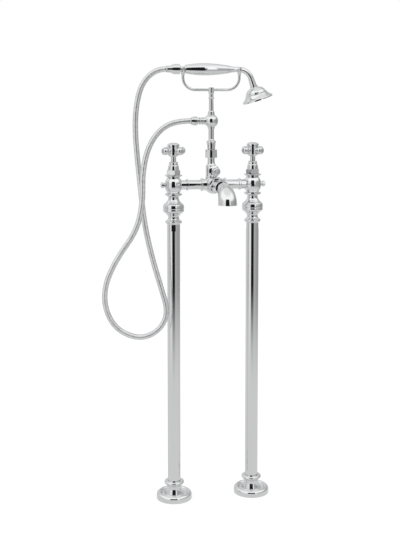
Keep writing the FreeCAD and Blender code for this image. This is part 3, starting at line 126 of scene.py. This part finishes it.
# One rib, as share of the pitch and depth under its crest.
HOSE_RIB = ((0.0, HOSE_GROOVE), (0.10, 0.00018), (0.26, 0.00003), (0.45, 0.0),
            (0.66, 0.00004), (0.84, 0.00016))

# The route that the hose bends round, from the tee's nut to the ferrule.
HOSE_ROUTE = (
    (-0.0505, 0, 0.8545), (-0.084, 0, 0.8545), (-0.122, -0.007, 0.836),
    (-0.149, -0.014, 0.797), (-0.162, -0.020, 0.742), (-0.162, -0.025, 0.680),
    (-0.176, -0.028, 0.617), (-0.221, -0.028, 0.556), (-0.247, -0.028, 0.499),
    (-0.247, -0.029, 0.448), (-0.224, -0.030, 0.403), (-0.182, -0.032, 0.381),
    (-0.148, -0.033, 0.384), (-0.121, -0.034, 0.405), (-0.109, -0.034, 0.439),
    (-0.124, -0.030, 0.492), (-0.143, -0.021, 0.560), (-0.157, -0.008, 0.632),
    (-0.163, 0.004, 0.706), (-0.169, 0.008, 0.770), (-0.174, 0.006, 0.830),
    (-0.173, 0.002, 0.880), (-0.164, 0.001, 0.924), (-0.148, 0, 0.951),
    (-0.122, 0, 0.968), (-0.1045, 0, 0.968),
)


def spline_points(route):
    """Points along the smooth spline that the route controls."""
    curve = bpy.data.curves.new("hose_line", "CURVE")
    curve.dimensions = "3D"
    curve.resolution_u = LINE_STEPS
    spline = curve.splines.new("NURBS")
    spline.points.add(len(route) - 1)
    for point, place in zip(spline.points, route):
        point.co = (*place, 1)
    spline.order_u = 3
    spline.use_endpoint_u = True
    line = bpy.data.objects.new("hose_line", curve)
    mesh = bpy.data.meshes.new_from_object(line)
    points = [vertex.co.copy() for vertex in mesh.vertices]
    bpy.data.objects.remove(line)
    bpy.data.curves.remove(curve)
    bpy.data.meshes.remove(mesh)
    return points


def distances_along(points):
    far = [0.0]
    for before, after in zip(points, points[1:]):
        far.append(far[-1] + (after - before).length)
    return far


def rib_stations(length):
    """Distance along the hose and radius of each ring of its skin."""
    crest = HOSE_DIAMETER / 2
    collar = crest - COLLAR_DIP
    ribbed = length - 2 * HOSE_COLLAR
    count = round(ribbed / HOSE_PITCH)
    pitch = ribbed / count
    stations = [(0, collar), (HOSE_COLLAR - COLLAR_STEP, collar)]
    for rib in range(count):
        for share, depth in HOSE_RIB:
            stations.append((HOSE_COLLAR + (rib + share) * pitch, crest - depth))
    stations.append((length - HOSE_COLLAR, crest - HOSE_GROOVE))
    stations.append((length - HOSE_COLLAR + COLLAR_STEP, collar))
    stations.append((length, collar))
    return stations


def tube_along(name, points, stations, sides):
    """A skin of rings square to a line, carried along it without twist."""
    far = distances_along(points)
    verts = []
    segment = 0
    side = Vector((0, 1, 0))
    for distance, radius in stations:
        while segment < len(points) - 2 and far[segment + 1] < distance:
            segment += 1
        share = (distance - far[segment]) / (far[segment + 1] - far[segment])
        centre = points[segment].lerp(points[segment + 1], share)
        here = (points[segment + 1] - points[segment]).normalized()
        ahead = points[min(segment + 2, len(points) - 1)] - points[segment]
        along = here.lerp(ahead.normalized(), share).normalized()
        side = (side - along * side.dot(along)).normalized()
        verts += ring_points(centre, side, along.cross(side), radius, sides)
    faces = ring_faces(len(stations), sides)
    faces.append(tuple(reversed(range(sides))))
    faces.append(tuple(range(len(verts) - sides, len(verts))))
    return add_mesh(name, verts, faces)


def make_hose():
    points = spline_points(HOSE_ROUTE)
    length = distances_along(points)[-1]
    hose = tube_along("metal_hose", points, rib_stations(length), HOSE_SIDES)
    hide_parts("hose")
    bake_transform(hose)
    return hose


hose = make_hose()


# ---- materials ------------------------------------------------------------------

CHROME = (0.80, 0.805, 0.81)
NOISE_SPAN = (0.35, 0.65)   # where most of a noise pattern's values lie
SMOOTH_BELOW = 32.0         # a sharper edge than this stays an edge


class Paint:
    """A material with a few short ways to add what varies over its surface."""

    def __init__(self, name, colour, metallic, roughness):
        self.material = bpy.data.materials.new(name)
        self.material.use_nodes = True
        self.tree = self.material.node_tree
        self.shader = self.tree.nodes["Principled BSDF"]
        self.shader.inputs["Base Color"].default_value = (*colour, 1)
        self.shader.inputs["Metallic"].default_value = metallic
        self.shader.inputs["Roughness"].default_value = roughness
        self.place = self.tree.nodes.new("ShaderNodeTexCoord").outputs["Object"]

    def link(self, source, target):
        self.tree.links.new(source, target)

    def stretched(self, scale):
        mapping = self.tree.nodes.new("ShaderNodeMapping")
        mapping.inputs["Scale"].default_value = scale
        self.link(self.place, mapping.inputs["Vector"])
        return mapping.outputs["Vector"]

    def noise(self, scale, detail, stretch=(1, 1, 1)):
        node = self.tree.nodes.new("ShaderNodeTexNoise")
        node.inputs["Scale"].default_value = scale
        node.inputs["Detail"].default_value = detail
        self.link(self.stretched(stretch), node.inputs["Vector"])
        return node.outputs["Fac"]

    def spread(self, source, low, high, span=NOISE_SPAN):
        """Map a span of a pattern's values onto a range."""
        node = self.tree.nodes.new("ShaderNodeMapRange")
        node.inputs["From Min"].default_value, node.inputs["From Max"].default_value = span
        node.inputs["To Min"].default_value = low
        node.inputs["To Max"].default_value = high
        self.link(source, node.inputs["Value"])
        return node.outputs["Result"]

    def vary_roughness(self, source, low, high):
        self.link(self.spread(source, low, high), self.shader.inputs["Roughness"])

    def vary_colour(self, source, first, second, span=NOISE_SPAN):
        node = self.tree.nodes.new("ShaderNodeMix")
        node.data_type = "RGBA"
        node.inputs["A"].default_value = (*first, 1)
        node.inputs["B"].default_value = (*second, 1)
        self.link(self.spread(source, 0, 1, span), node.inputs["Factor"])
        self.link(node.outputs["Result"], self.shader.inputs["Base Color"])

    def bump(self, source, depth, before=None):
        node = self.tree.nodes.new("ShaderNodeBump")
        node.inputs["Distance"].default_value = depth
        self.link(source, node.inputs["Height"])
        if before:
            self.link(before, node.inputs["Normal"])
        return node.outputs["Normal"]

    def set_normal(self, normal):
        self.link(normal, self.shader.inputs["Normal"])


def cast_chrome():
    """Polished plating over a casting: faint waves and fine polishing haze."""
    paint = Paint("cast_chrome", CHROME, 1.0, 0.05)
    paint.vary_roughness(paint.noise(90, 5), 0.035, 0.075)
    paint.vary_colour(paint.noise(28, 3), CHROME, (0.775, 0.782, 0.79))
    waves = paint.bump(paint.noise(55, 2), 0.00006)
    paint.set_normal(paint.bump(paint.noise(2600, 2), 0.0000012, waves))
    return paint.material


def drawn_chrome():
    """Plating over drawn tube: the polish runs round it, the draw marks along it."""
    paint = Paint("drawn_chrome", CHROME, 1.0, 0.05)
    paint.vary_roughness(paint.noise(60, 4, (1, 1, 0.08)), 0.03, 0.07)
    paint.vary_colour(paint.noise(20, 3, (1, 1, 0.2)), CHROME, (0.78, 0.786, 0.793))
    draws = paint.bump(paint.noise(240, 2, (1, 1, 0.02)), 0.000004)
    paint.set_normal(paint.bump(paint.noise(1500, 2, (0.1, 0.1, 1)), 0.0000008, draws))
    return paint.material


def turned_chrome():
    """Plating over a turned part: very fine marks that lie level round it."""
    paint = Paint("turned_chrome", CHROME, 1.0, 0.06)
    paint.vary_roughness(paint.noise(70, 4), 0.04, 0.085)
    paint.vary_colour(paint.noise(30, 3), CHROME, (0.77, 0.777, 0.785))
    paint.set_normal(paint.bump(paint.noise(1800, 2, (0.05, 0.05, 1)), 0.0000015))
    return paint.material


def hose_chrome():
    """Plated strip of the hose, a little duller and more mottled than the castings."""
    paint = Paint("hose_chrome", CHROME, 1.0, 0.10)
    paint.vary_roughness(paint.noise(350, 4), 0.06, 0.12)
    paint.vary_colour(paint.noise(130, 3), (0.81, 0.815, 0.82), (0.72, 0.726, 0.736))
    paint.set_normal(paint.bump(paint.noise(1400, 2), 0.000004))
    return paint.material


def raw_brass():
    """Unplated brass with its tool marks and a little tarnish."""
    paint = Paint("raw_brass", (0.70, 0.47, 0.20), 1.0, 0.28)
    paint.vary_roughness(paint.noise(160, 5), 0.20, 0.38)
    paint.vary_colour(paint.noise(60, 6), (0.74, 0.52, 0.24), (0.47, 0.30, 0.13), (0.42, 0.72))
    paint.set_normal(paint.bump(paint.noise(2200, 3, (0.06, 0.06, 1)), 0.00001))
    return paint.material


def lapped_ceramic():
    """Off-white alumina with faint grain."""
    paint = Paint("lapped_ceramic", (0.86, 0.85, 0.82), 0.0, 0.16)
    paint.vary_roughness(paint.noise(500, 4), 0.11, 0.24)
    paint.vary_colour(paint.noise(900, 5), (0.88, 0.87, 0.84), (0.79, 0.78, 0.75))
    return paint.material


def red_fibre():
    """Pressed fibre, dull red with a matted grain."""
    paint = Paint("red_fibre", (0.36, 0.10, 0.06), 0.0, 0.85)
    paint.vary_roughness(paint.noise(700, 5), 0.75, 0.95)
    paint.vary_colour(paint.noise(1200, 6, (1, 1, 4)), (0.42, 0.13, 0.08), (0.24, 0.06, 0.04))
    paint.set_normal(paint.bump(paint.noise(1600, 5, (1, 1, 3)), 0.00006))
    return paint.material


def nozzle_rubber():
    """Pale grey rubber of the nozzles, faintly mottled."""
    paint = Paint("nozzle_rubber", (0.56, 0.57, 0.58), 0.0, 0.55)
    paint.vary_roughness(paint.noise(900, 4), 0.45, 0.65)
    paint.vary_colour(paint.noise(600, 4), (0.60, 0.61, 0.62), (0.50, 0.51, 0.52))
    paint.set_normal(paint.bump(paint.noise(2500, 3), 0.00002))
    return paint.material


# The endings of the nodes' names that each material is for. The rest are cast chrome.
PAINTED = {
    drawn_chrome: ("_standpipe", "_bridge_arm", "lower_riser", "upper_riser"),
    turned_chrome: ("_floor_cover", "handset_face"),
    raw_brass: ("_floor_plate", "_inlet_bush", "_headwork", "left_spindle", "right_spindle",
                "_valve_tail", "_handle_screw", "diverter_spindle"),
    lapped_ceramic: ("_moving_disc", "fixed_discs"),
    red_fibre: ("fibre_washers",),
    hose_chrome: ("tee_hose_nut", "handset_ferrule"),
}


def paint_piece(piece, material):
    piece.data.materials.clear()
    piece.data.materials.append(material)


def paint_nodes():
    chrome = cast_chrome()
    made = {make: make() for make in PAINTED}
    for name, node in nodes.items():
        material = chrome
        for make, endings in PAINTED.items():
            if name.endswith(endings):
                material = made[make]
        for slot in node.material_slots:
            slot.material = material
    paint_piece(hose, made[hose_chrome])


def smooth_nodes():
    for node in nodes.values():
        node.data.shade_smooth()
        node.data.set_sharp_from_angle(angle=math.radians(SMOOTH_BELOW))


paint_nodes()
smooth_nodes()


# ---- turned pieces, finer than the solids they stand for --------------------------

LATHE_SIDES = 120
LATHE_EDGE = 14.0           # a sharper edge than this stays an edge
BOW_STEPS = 12
SAME_PLACE = 1e-7           # points closer than this are one
LEGS = {"left": -0.090, "right": 0.090}

# The spanner flats on the sleeve of a leg head.
FLATS_HALF = 0.01370        # half the distance across them
FLATS_FOOT = 0.61145
FLATS_TOP = 0.62575
FLATS_TURN = {"left": -99.5, "right": -14.0}
LEAST_FACING = 0.01         # keeps the flats' sides from running off to infinity

# Outlines as radius, height and, where the run to the next point is curved, its bow
# as a share of its length. Radii and heights are in millimetres. They go up the
# outside and down the bore. The sleeve has two close rings at each end of its flats.
LEG_HEAD = (
    (7.5, 591.5), (12.85, 591.5), (12.85, 609.5), (14.5, 609.5), (14.5, 611.4),
    (14.5, 611.5), (14.5, 625.7), (14.5, 625.8), (14.5, 626.2), (15.6, 627.6, 0.16),
    (18.5, 631.0, 0.18), (16.4, 634.4, -0.12), (12.7, 638.2, -0.05), (12.1, 641.0),
    (12.2, 643.0, -0.06), (17.4, 650.0, -0.03), (20.6, 652.6, 0.12), (23.1, 656.0, 0.05),
    (23.3, 659.5), (15.0, 659.5), (15.0, 667.5), (7.5, 667.5),
)
UNION_NUT = (
    (15.15, 659.5), (23.3, 659.5, 0.06), (22.7, 661.0), (22.1, 661.6), (23.5, 662.1, 0.06),
    (22.9, 667.4, 0.12), (20.6, 671.4, -0.04), (15.2, 676.6, -0.07), (12.0, 682.4, -0.02),
    (11.5, 687.1), (9.45, 687.1), (9.45, 672.65), (15.15, 672.65),
)
FLOOR_COVER = (
    (14.65, 41.0), (14.65, 21.2), (17.5, 15.2), (17.5, 5.7), (37.2, 5.7), (37.2, 0),
    (39.8, 0), (39.8, 5.6, 0.20), (34.4, 15.0, 0.12), (32.2, 14.8, 0.10), (28.6, 10.6, -0.12),
    (25.0, 9.0), (23.0, 9.0, -0.20), (20.2, 12.4, -0.03), (16.4, 27.6, -0.10),
    (17.2, 31.4), (18.7, 31.9), (18.8, 32.9, 0.20), (22.5, 36.8, 0.20), (18.4, 41.0),
)
BONNET = (
    (7.35, 746.6), (13.0, 746.6), (12.9, 747.3), (11.5, 755.4, 0.05), (10.3, 757.8, 0.02),
    (9.3, 762.2), (10.1, 763.0, 0.20), (9.9, 764.2), (9.3, 764.6), (4.5, 764.6), (4.5, 756.7),
    (7.35, 756.7),
)
HANDLE_CAP = (
    (0, 795.1), (7.05, 795.1), (7.05, 798.1), (12.2, 798.1), (13.4, 798.9, 0.03),
    (13.5, 801.8, 0.16), (12.0, 804.0, 0.05), (8.0, 805.9, 0.05), (0, 806.8),
)


def bowed(outline):
    """The outline with each curved run divided along its curve."""
    points = []
    for corner, after in zip(outline, outline[1:] + outline[:1]):
        radius, height = corner[:2]
        points.append((radius, height))
        if len(corner) < 3:
            continue
        out, rise = after[0] - radius, after[1] - height
        for step in range(1, BOW_STEPS):
            share = step / BOW_STEPS
            side = 4 * corner[2] * share * (1 - share)
            points.append((radius + out * share + rise * side,
                           height + rise * share - out * side))
    return points


def lathe_ring(x, radius, height, flats_turn):
    """Points round the upright axis at x, cut back to the spanner flats where they are."""
    cut = flats_turn is not None and FLATS_FOOT < height < FLATS_TOP and radius > FLATS_HALF
    points = []
    for step in range(LATHE_SIDES):
        angle = 2 * math.pi * step / LATHE_SIDES
        reach = radius
        if cut:
            facing = abs(math.cos(angle - math.radians(flats_turn)))
            reach = min(radius, FLATS_HALF / max(facing, LEAST_FACING))
        points.append((x + reach * math.cos(angle), reach * math.sin(angle), height))
    return points


def join_poles(mesh):
    """Make one point of each ring of no radius."""
    shape = bmesh.new()
    shape.from_mesh(mesh)
    bmesh.ops.remove_doubles(shape, verts=shape.verts, dist=SAME_PLACE)
    shape.to_mesh(mesh)
    shape.free()


def lathe(node, outline, x, flats_turn=None, body="stand"):
    """A closed turned skin that stands for a node, with two spanner flats if asked."""
    verts = []
    points = bowed(outline)
    for radius, height in points:
        verts += lathe_ring(x, radius / 1000, height / 1000, flats_turn)
    faces = ring_faces(len(points), LATHE_SIDES, closed=True)
    piece = add_mesh(f"turned_{node}", verts, faces)
    join_poles(piece.data)
    piece.data.set_sharp_from_angle(angle=math.radians(LATHE_EDGE))
    paint_piece(piece, nodes[node].material_slots[0].material)
    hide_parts(node)
    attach(piece, body)


def make_turned_pieces():
    for side, x in LEGS.items():
        lathe(f"{side}_leg_head", LEG_HEAD, x, FLATS_TURN[side])
        lathe(f"{side}_union_nut", UNION_NUT, x)
        lathe(f"{side}_floor_cover", FLOOR_COVER, x)
        lathe(f"{side}_bonnet", BONNET, x)
        lathe(f"{side}_handle_cap", HANDLE_CAP, x, body=f"{side}_handle")


make_turned_pieces()


# ---- the nozzles of the hand shower -----------------------------------------------

HEAD_TILT = 71.4            # how far down the hand shower's face looks
NOZZLE_SIDES = 14

# One nozzle, as radius and height over the middle of the rose's plate.
NOZZLE = ((0.0021, 0.0008), (0.0016, 0.0013), (0.0011, 0.0024), (0.0006, 0.0026),
          (0.0004, 0.0018))

# How many nozzles stand on each circle of the rose, and its radius.
NOZZLE_CIRCLES = ((1, 0), (8, 0.0065), (14, 0.0125), (20, 0.0185), (26, 0.0245))


def make_nozzles():
    """Circles of small rubber nozzles that stand out of the rose."""
    lo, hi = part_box("handset_face")
    centre = (Vector(lo) + Vector(hi)) / 2
    tilt = math.radians(HEAD_TILT)
    out = Vector((math.cos(tilt), 0, -math.sin(tilt)))
    across = Vector((0, 1, 0))
    up = out.cross(across)
    verts, faces = [], []
    for count, reach in NOZZLE_CIRCLES:
        for foot in ring_points(centre, across, up, reach, count):
            base = len(verts)
            for radius, height in NOZZLE:
                for point in ring_points(foot, across, up, radius, NOZZLE_SIDES):
                    verts.append(point + out * height)
            faces += ring_faces(len(NOZZLE), NOZZLE_SIDES, base)
            faces.append(tuple(range(len(verts) - NOZZLE_SIDES, len(verts))))
    nozzles = add_mesh("rose_nozzles", verts, faces)
    paint_piece(nozzles, nozzle_rubber())
    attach(nozzles, "handset")


make_nozzles()


# ---- floor, light and surroundings ------------------------------------------------

FLOOR_RADIUS = 2.6
FLOOR_SIDES = 96
FLOOR_NEAR = 0.7            # the floor fades out of the metal from here outwards
FLOOR_IN_METAL = 0.72
FLOOR_GLOW = 0.64           # what the floor shows by itself, without the light on it
FLOOR_COLOUR = 0.42

# How bright the studio's walls look in the metal, by degrees right of the camera.
WALLS = ((-180, 0.70), (-120, 0.72), (-90, 0.62), (-65, 0.72), (-48, 0.90), (-20, 0.90),
         (20, 0.50), (40, 0.46), (65, 0.42), (95, 0.36), (115, 0.31), (138, 0.50), (180, 0.70))
UPPER_WALL = 1.15           # the top of the walls, in front and at the sides
UPPER_FROM = (12, 35)       # height over which it takes the place of the walls
UPPER_ENDS = (90, 150)      # bearing over which it ends, on either side
CEILING = 0.90
CEILING_FROM = (48, 72)     # height over which it takes the place of the walls

# Oblongs in the studio: bearing of the middle, half width, height of the middle and
# half height. After each comes how bright it looks.
LIGHT_PANEL = (29, 5, 14, 18)
LIGHT_PANEL_LEVEL = 1.2
DARK_CARD = (0, 24.2, 4, 33)
DARK_CARD_LEVEL = 0.012
OBLONG_EDGE = (0.97, 1.03)  # the share of its half size over which an oblong ends

LAMP_SIZE = (1.4, 1.8)
LAMP_POWER = 9              # watts
LAMP_PLACE = (-1.7, -1.2, 2.3)
LAMP_AIM = (0, 0, 0.6)


class Maths:
    """Short ways to add number and shader nodes to a tree."""

    def __init__(self, tree):
        self.tree = tree

    def __call__(self, operation, first, second=None):
        node = self.tree.nodes.new("ShaderNodeMath")
        node.operation = operation
        for socket, value in zip(node.inputs, (first, second)):
            if isinstance(value, (int, float)):
                socket.default_value = value
            elif value is not None:
                self.tree.links.new(value, socket)
        return node.outputs[0]

    def ramp(self, value, start, end, low=0.0, high=1.0):
        node = self.tree.nodes.new("ShaderNodeMapRange")
        node.interpolation_type = "SMOOTHSTEP"
        for name, number in (("From Min", start), ("From Max", end),
                             ("To Min", low), ("To Max", high)):
            node.inputs[name].default_value = number
        self.tree.links.new(value, node.inputs["Value"])
        return node.outputs["Result"]

    def blend(self, share, first, second):
        """From the first number or colour to the second one."""
        node = self.tree.nodes.new("ShaderNodeMix")
        node.data_type = "RGBA"
        self.tree.links.new(share, node.inputs["Factor"])
        for name, value in (("A", first), ("B", second)):
            if isinstance(value, (int, float)):
                node.inputs[name].default_value = (value, value, value, 1)
            else:
                self.tree.links.new(value, node.inputs[name])
        return node.outputs["Result"]

    def shader(self, kind, colour):
        node = self.tree.nodes.new(kind)
        if isinstance(colour, (int, float)):
            node.inputs["Color"].default_value = (colour, colour, colour, 1)
        else:
            self.tree.links.new(colour, node.inputs["Color"])
        return node.outputs[0]

    def join(self, kind, *sources):
        """A shader node that takes the given sources in the order of its sockets."""
        node = self.tree.nodes.new(kind)
        for socket, source in zip(node.inputs, sources):
            self.tree.links.new(source, socket)
        return node.outputs[0]


def floor_material():
    """White with a soft shadow; in the metal it fades into the studio further out."""
    material = bpy.data.materials.new("pale_floor")
    material.use_nodes = True
    tree = material.node_tree
    tree.nodes.clear()
    maths = Maths(tree)
    path = tree.nodes.new("ShaderNodeLightPath")
    matt = maths.shader("ShaderNodeBsdfDiffuse", FLOOR_COLOUR)
    glow = maths.shader("ShaderNodeEmission", FLOOR_GLOW)
    lit = maths.join("ShaderNodeAddShader", matt, glow)
    distance = tree.nodes.new("ShaderNodeVectorMath")
    distance.operation = "LENGTH"
    tree.links.new(tree.nodes.new("ShaderNodeTexCoord").outputs["Object"], distance.inputs[0])
    fade = maths.ramp(distance.outputs["Value"], FLOOR_NEAR, FLOOR_RADIUS)
    white = maths.shader("ShaderNodeEmission", FLOOR_IN_METAL)
    clear = maths.shader("ShaderNodeBsdfTransparent", 1.0)
    mirrored = maths.join("ShaderNodeMixShader", fade, white, clear)
    in_metal = maths("MAXIMUM", path.outputs["Is Glossy Ray"],
                     path.outputs["Is Transmission Ray"])
    surface = maths.join("ShaderNodeMixShader", in_metal, lit, mirrored)
    output = tree.nodes.new("ShaderNodeOutputMaterial")
    tree.links.new(surface, output.inputs["Surface"])
    return material


def make_floor():
    verts = [(FLOOR_RADIUS * math.cos(2 * math.pi * step / FLOOR_SIDES),
              FLOOR_RADIUS * math.sin(2 * math.pi * step / FLOOR_SIDES), 0)
             for step in range(FLOOR_SIDES)]
    floor = add_mesh("floor", verts, [tuple(range(FLOOR_SIDES))], smooth=False)
    paint_piece(floor, floor_material())


def look_direction(maths):
    """Bearing and height that a ray goes to. Bearing 0 is back towards the camera's side."""
    split = maths.tree.nodes.new("ShaderNodeSeparateXYZ")
    place = maths.tree.nodes.new("ShaderNodeTexCoord")
    maths.tree.links.new(place.outputs["Generated"], split.inputs[0])
    turn = math.radians(CAMERA_TURN)
    x, y, z = split.outputs
    right = maths("SUBTRACT", maths("MULTIPLY", x, math.cos(turn)),
                  maths("MULTIPLY", y, math.sin(turn)))
    front = maths("MULTIPLY", maths("ADD", maths("MULTIPLY", x, math.sin(turn)),
                                    maths("MULTIPLY", y, math.cos(turn))), -1)
    bearing = maths("DEGREES", maths("ARCTAN2", right, front))
    return bearing, maths("DEGREES", maths("ARCSINE", z))


def wall_shade(maths, bearing):
    """The brightness of the walls, straight from one named bearing to the next."""
    shade = maths.tree.nodes.new("ShaderNodeValToRGB")
    bands = shade.color_ramp
    bands.interpolation = "LINEAR"
    bands.elements[0].position, bands.elements[1].position = 0, 1
    for angle, _ in WALLS[1:-1]:
        bands.elements.new(angle / 360 + 0.5)
    for element, (_, level) in zip(bands.elements, WALLS):
        element.color = (level, level, level, 1)
    turned = maths("ADD", maths("DIVIDE", bearing, 360), 0.5)
    maths.tree.links.new(turned, shade.inputs["Fac"])
    return shade.outputs["Color"]


def oblong_share(maths, bearing, height, oblong):
    """1 inside an oblong that is placed by its bearing and height, 0 outside it."""
    middle_bearing, half_width, middle_height, half_height = oblong
    across = maths("ABSOLUTE", maths("SUBTRACT", bearing, middle_bearing))
    up = maths("ABSOLUTE", maths("SUBTRACT", height, middle_height))
    reach = maths("MAXIMUM", maths("DIVIDE", across, half_width),
                  maths("DIVIDE", up, half_height))
    return maths.ramp(reach, *OBLONG_EDGE, 1, 0)


def studio_colour(maths):
    """Walls, dimmer on the right, with a brighter top, a ceiling, a panel and a dark card."""
    bearing, height = look_direction(maths)
    walls = wall_shade(maths, bearing)
    ahead = maths.ramp(maths("ABSOLUTE", bearing), *UPPER_ENDS, 1, 0)
    upper = maths("MULTIPLY", maths.ramp(height, *UPPER_FROM), ahead)
    colour = maths.blend(upper, walls, UPPER_WALL)
    colour = maths.blend(maths.ramp(height, *CEILING_FROM), colour, CEILING)
    panel = oblong_share(maths, bearing, height, LIGHT_PANEL)
    colour = maths.blend(panel, colour, LIGHT_PANEL_LEVEL)
    card = oblong_share(maths, bearing, height, DARK_CARD)
    return maths.blend(card, colour, DARK_CARD_LEVEL)


def make_world():
    """The studio as the metal sees it; plain white for everything else."""
    world = bpy.data.worlds.new("studio")
    bpy.context.scene.world = world
    world.use_nodes = True
    tree = world.node_tree
    tree.nodes.clear()
    maths = Maths(tree)
    studio = maths.shader("ShaderNodeBackground", studio_colour(maths))
    plain = maths.shader("ShaderNodeBackground", 1.0)
    path = tree.nodes.new("ShaderNodeLightPath")
    chosen = maths.join("ShaderNodeMixShader", path.outputs["Is Glossy Ray"], plain, studio)
    output = tree.nodes.new("ShaderNodeOutputWorld")
    tree.links.new(chosen, output.inputs["Surface"])


def make_lamp():
    """One wide soft lamp, high on the left, for the shadow on the floor."""
    data = bpy.data.lights.new("soft_lamp", "AREA")
    data.shape = "RECTANGLE"
    data.size, data.size_y = LAMP_SIZE
    data.energy = LAMP_POWER
    lamp = bpy.data.objects.new("soft_lamp", data)
    lamp.location = LAMP_PLACE
    lamp.rotation_euler = (Vector(LAMP_AIM) - lamp.location).to_track_quat("-Z", "Y").to_euler()
    lamp.visible_glossy = False
    bpy.context.scene.collection.objects.link(lamp)


make_floor()
make_world()
make_lamp()
bpy.context.scene.view_settings.view_transform = "Standard"
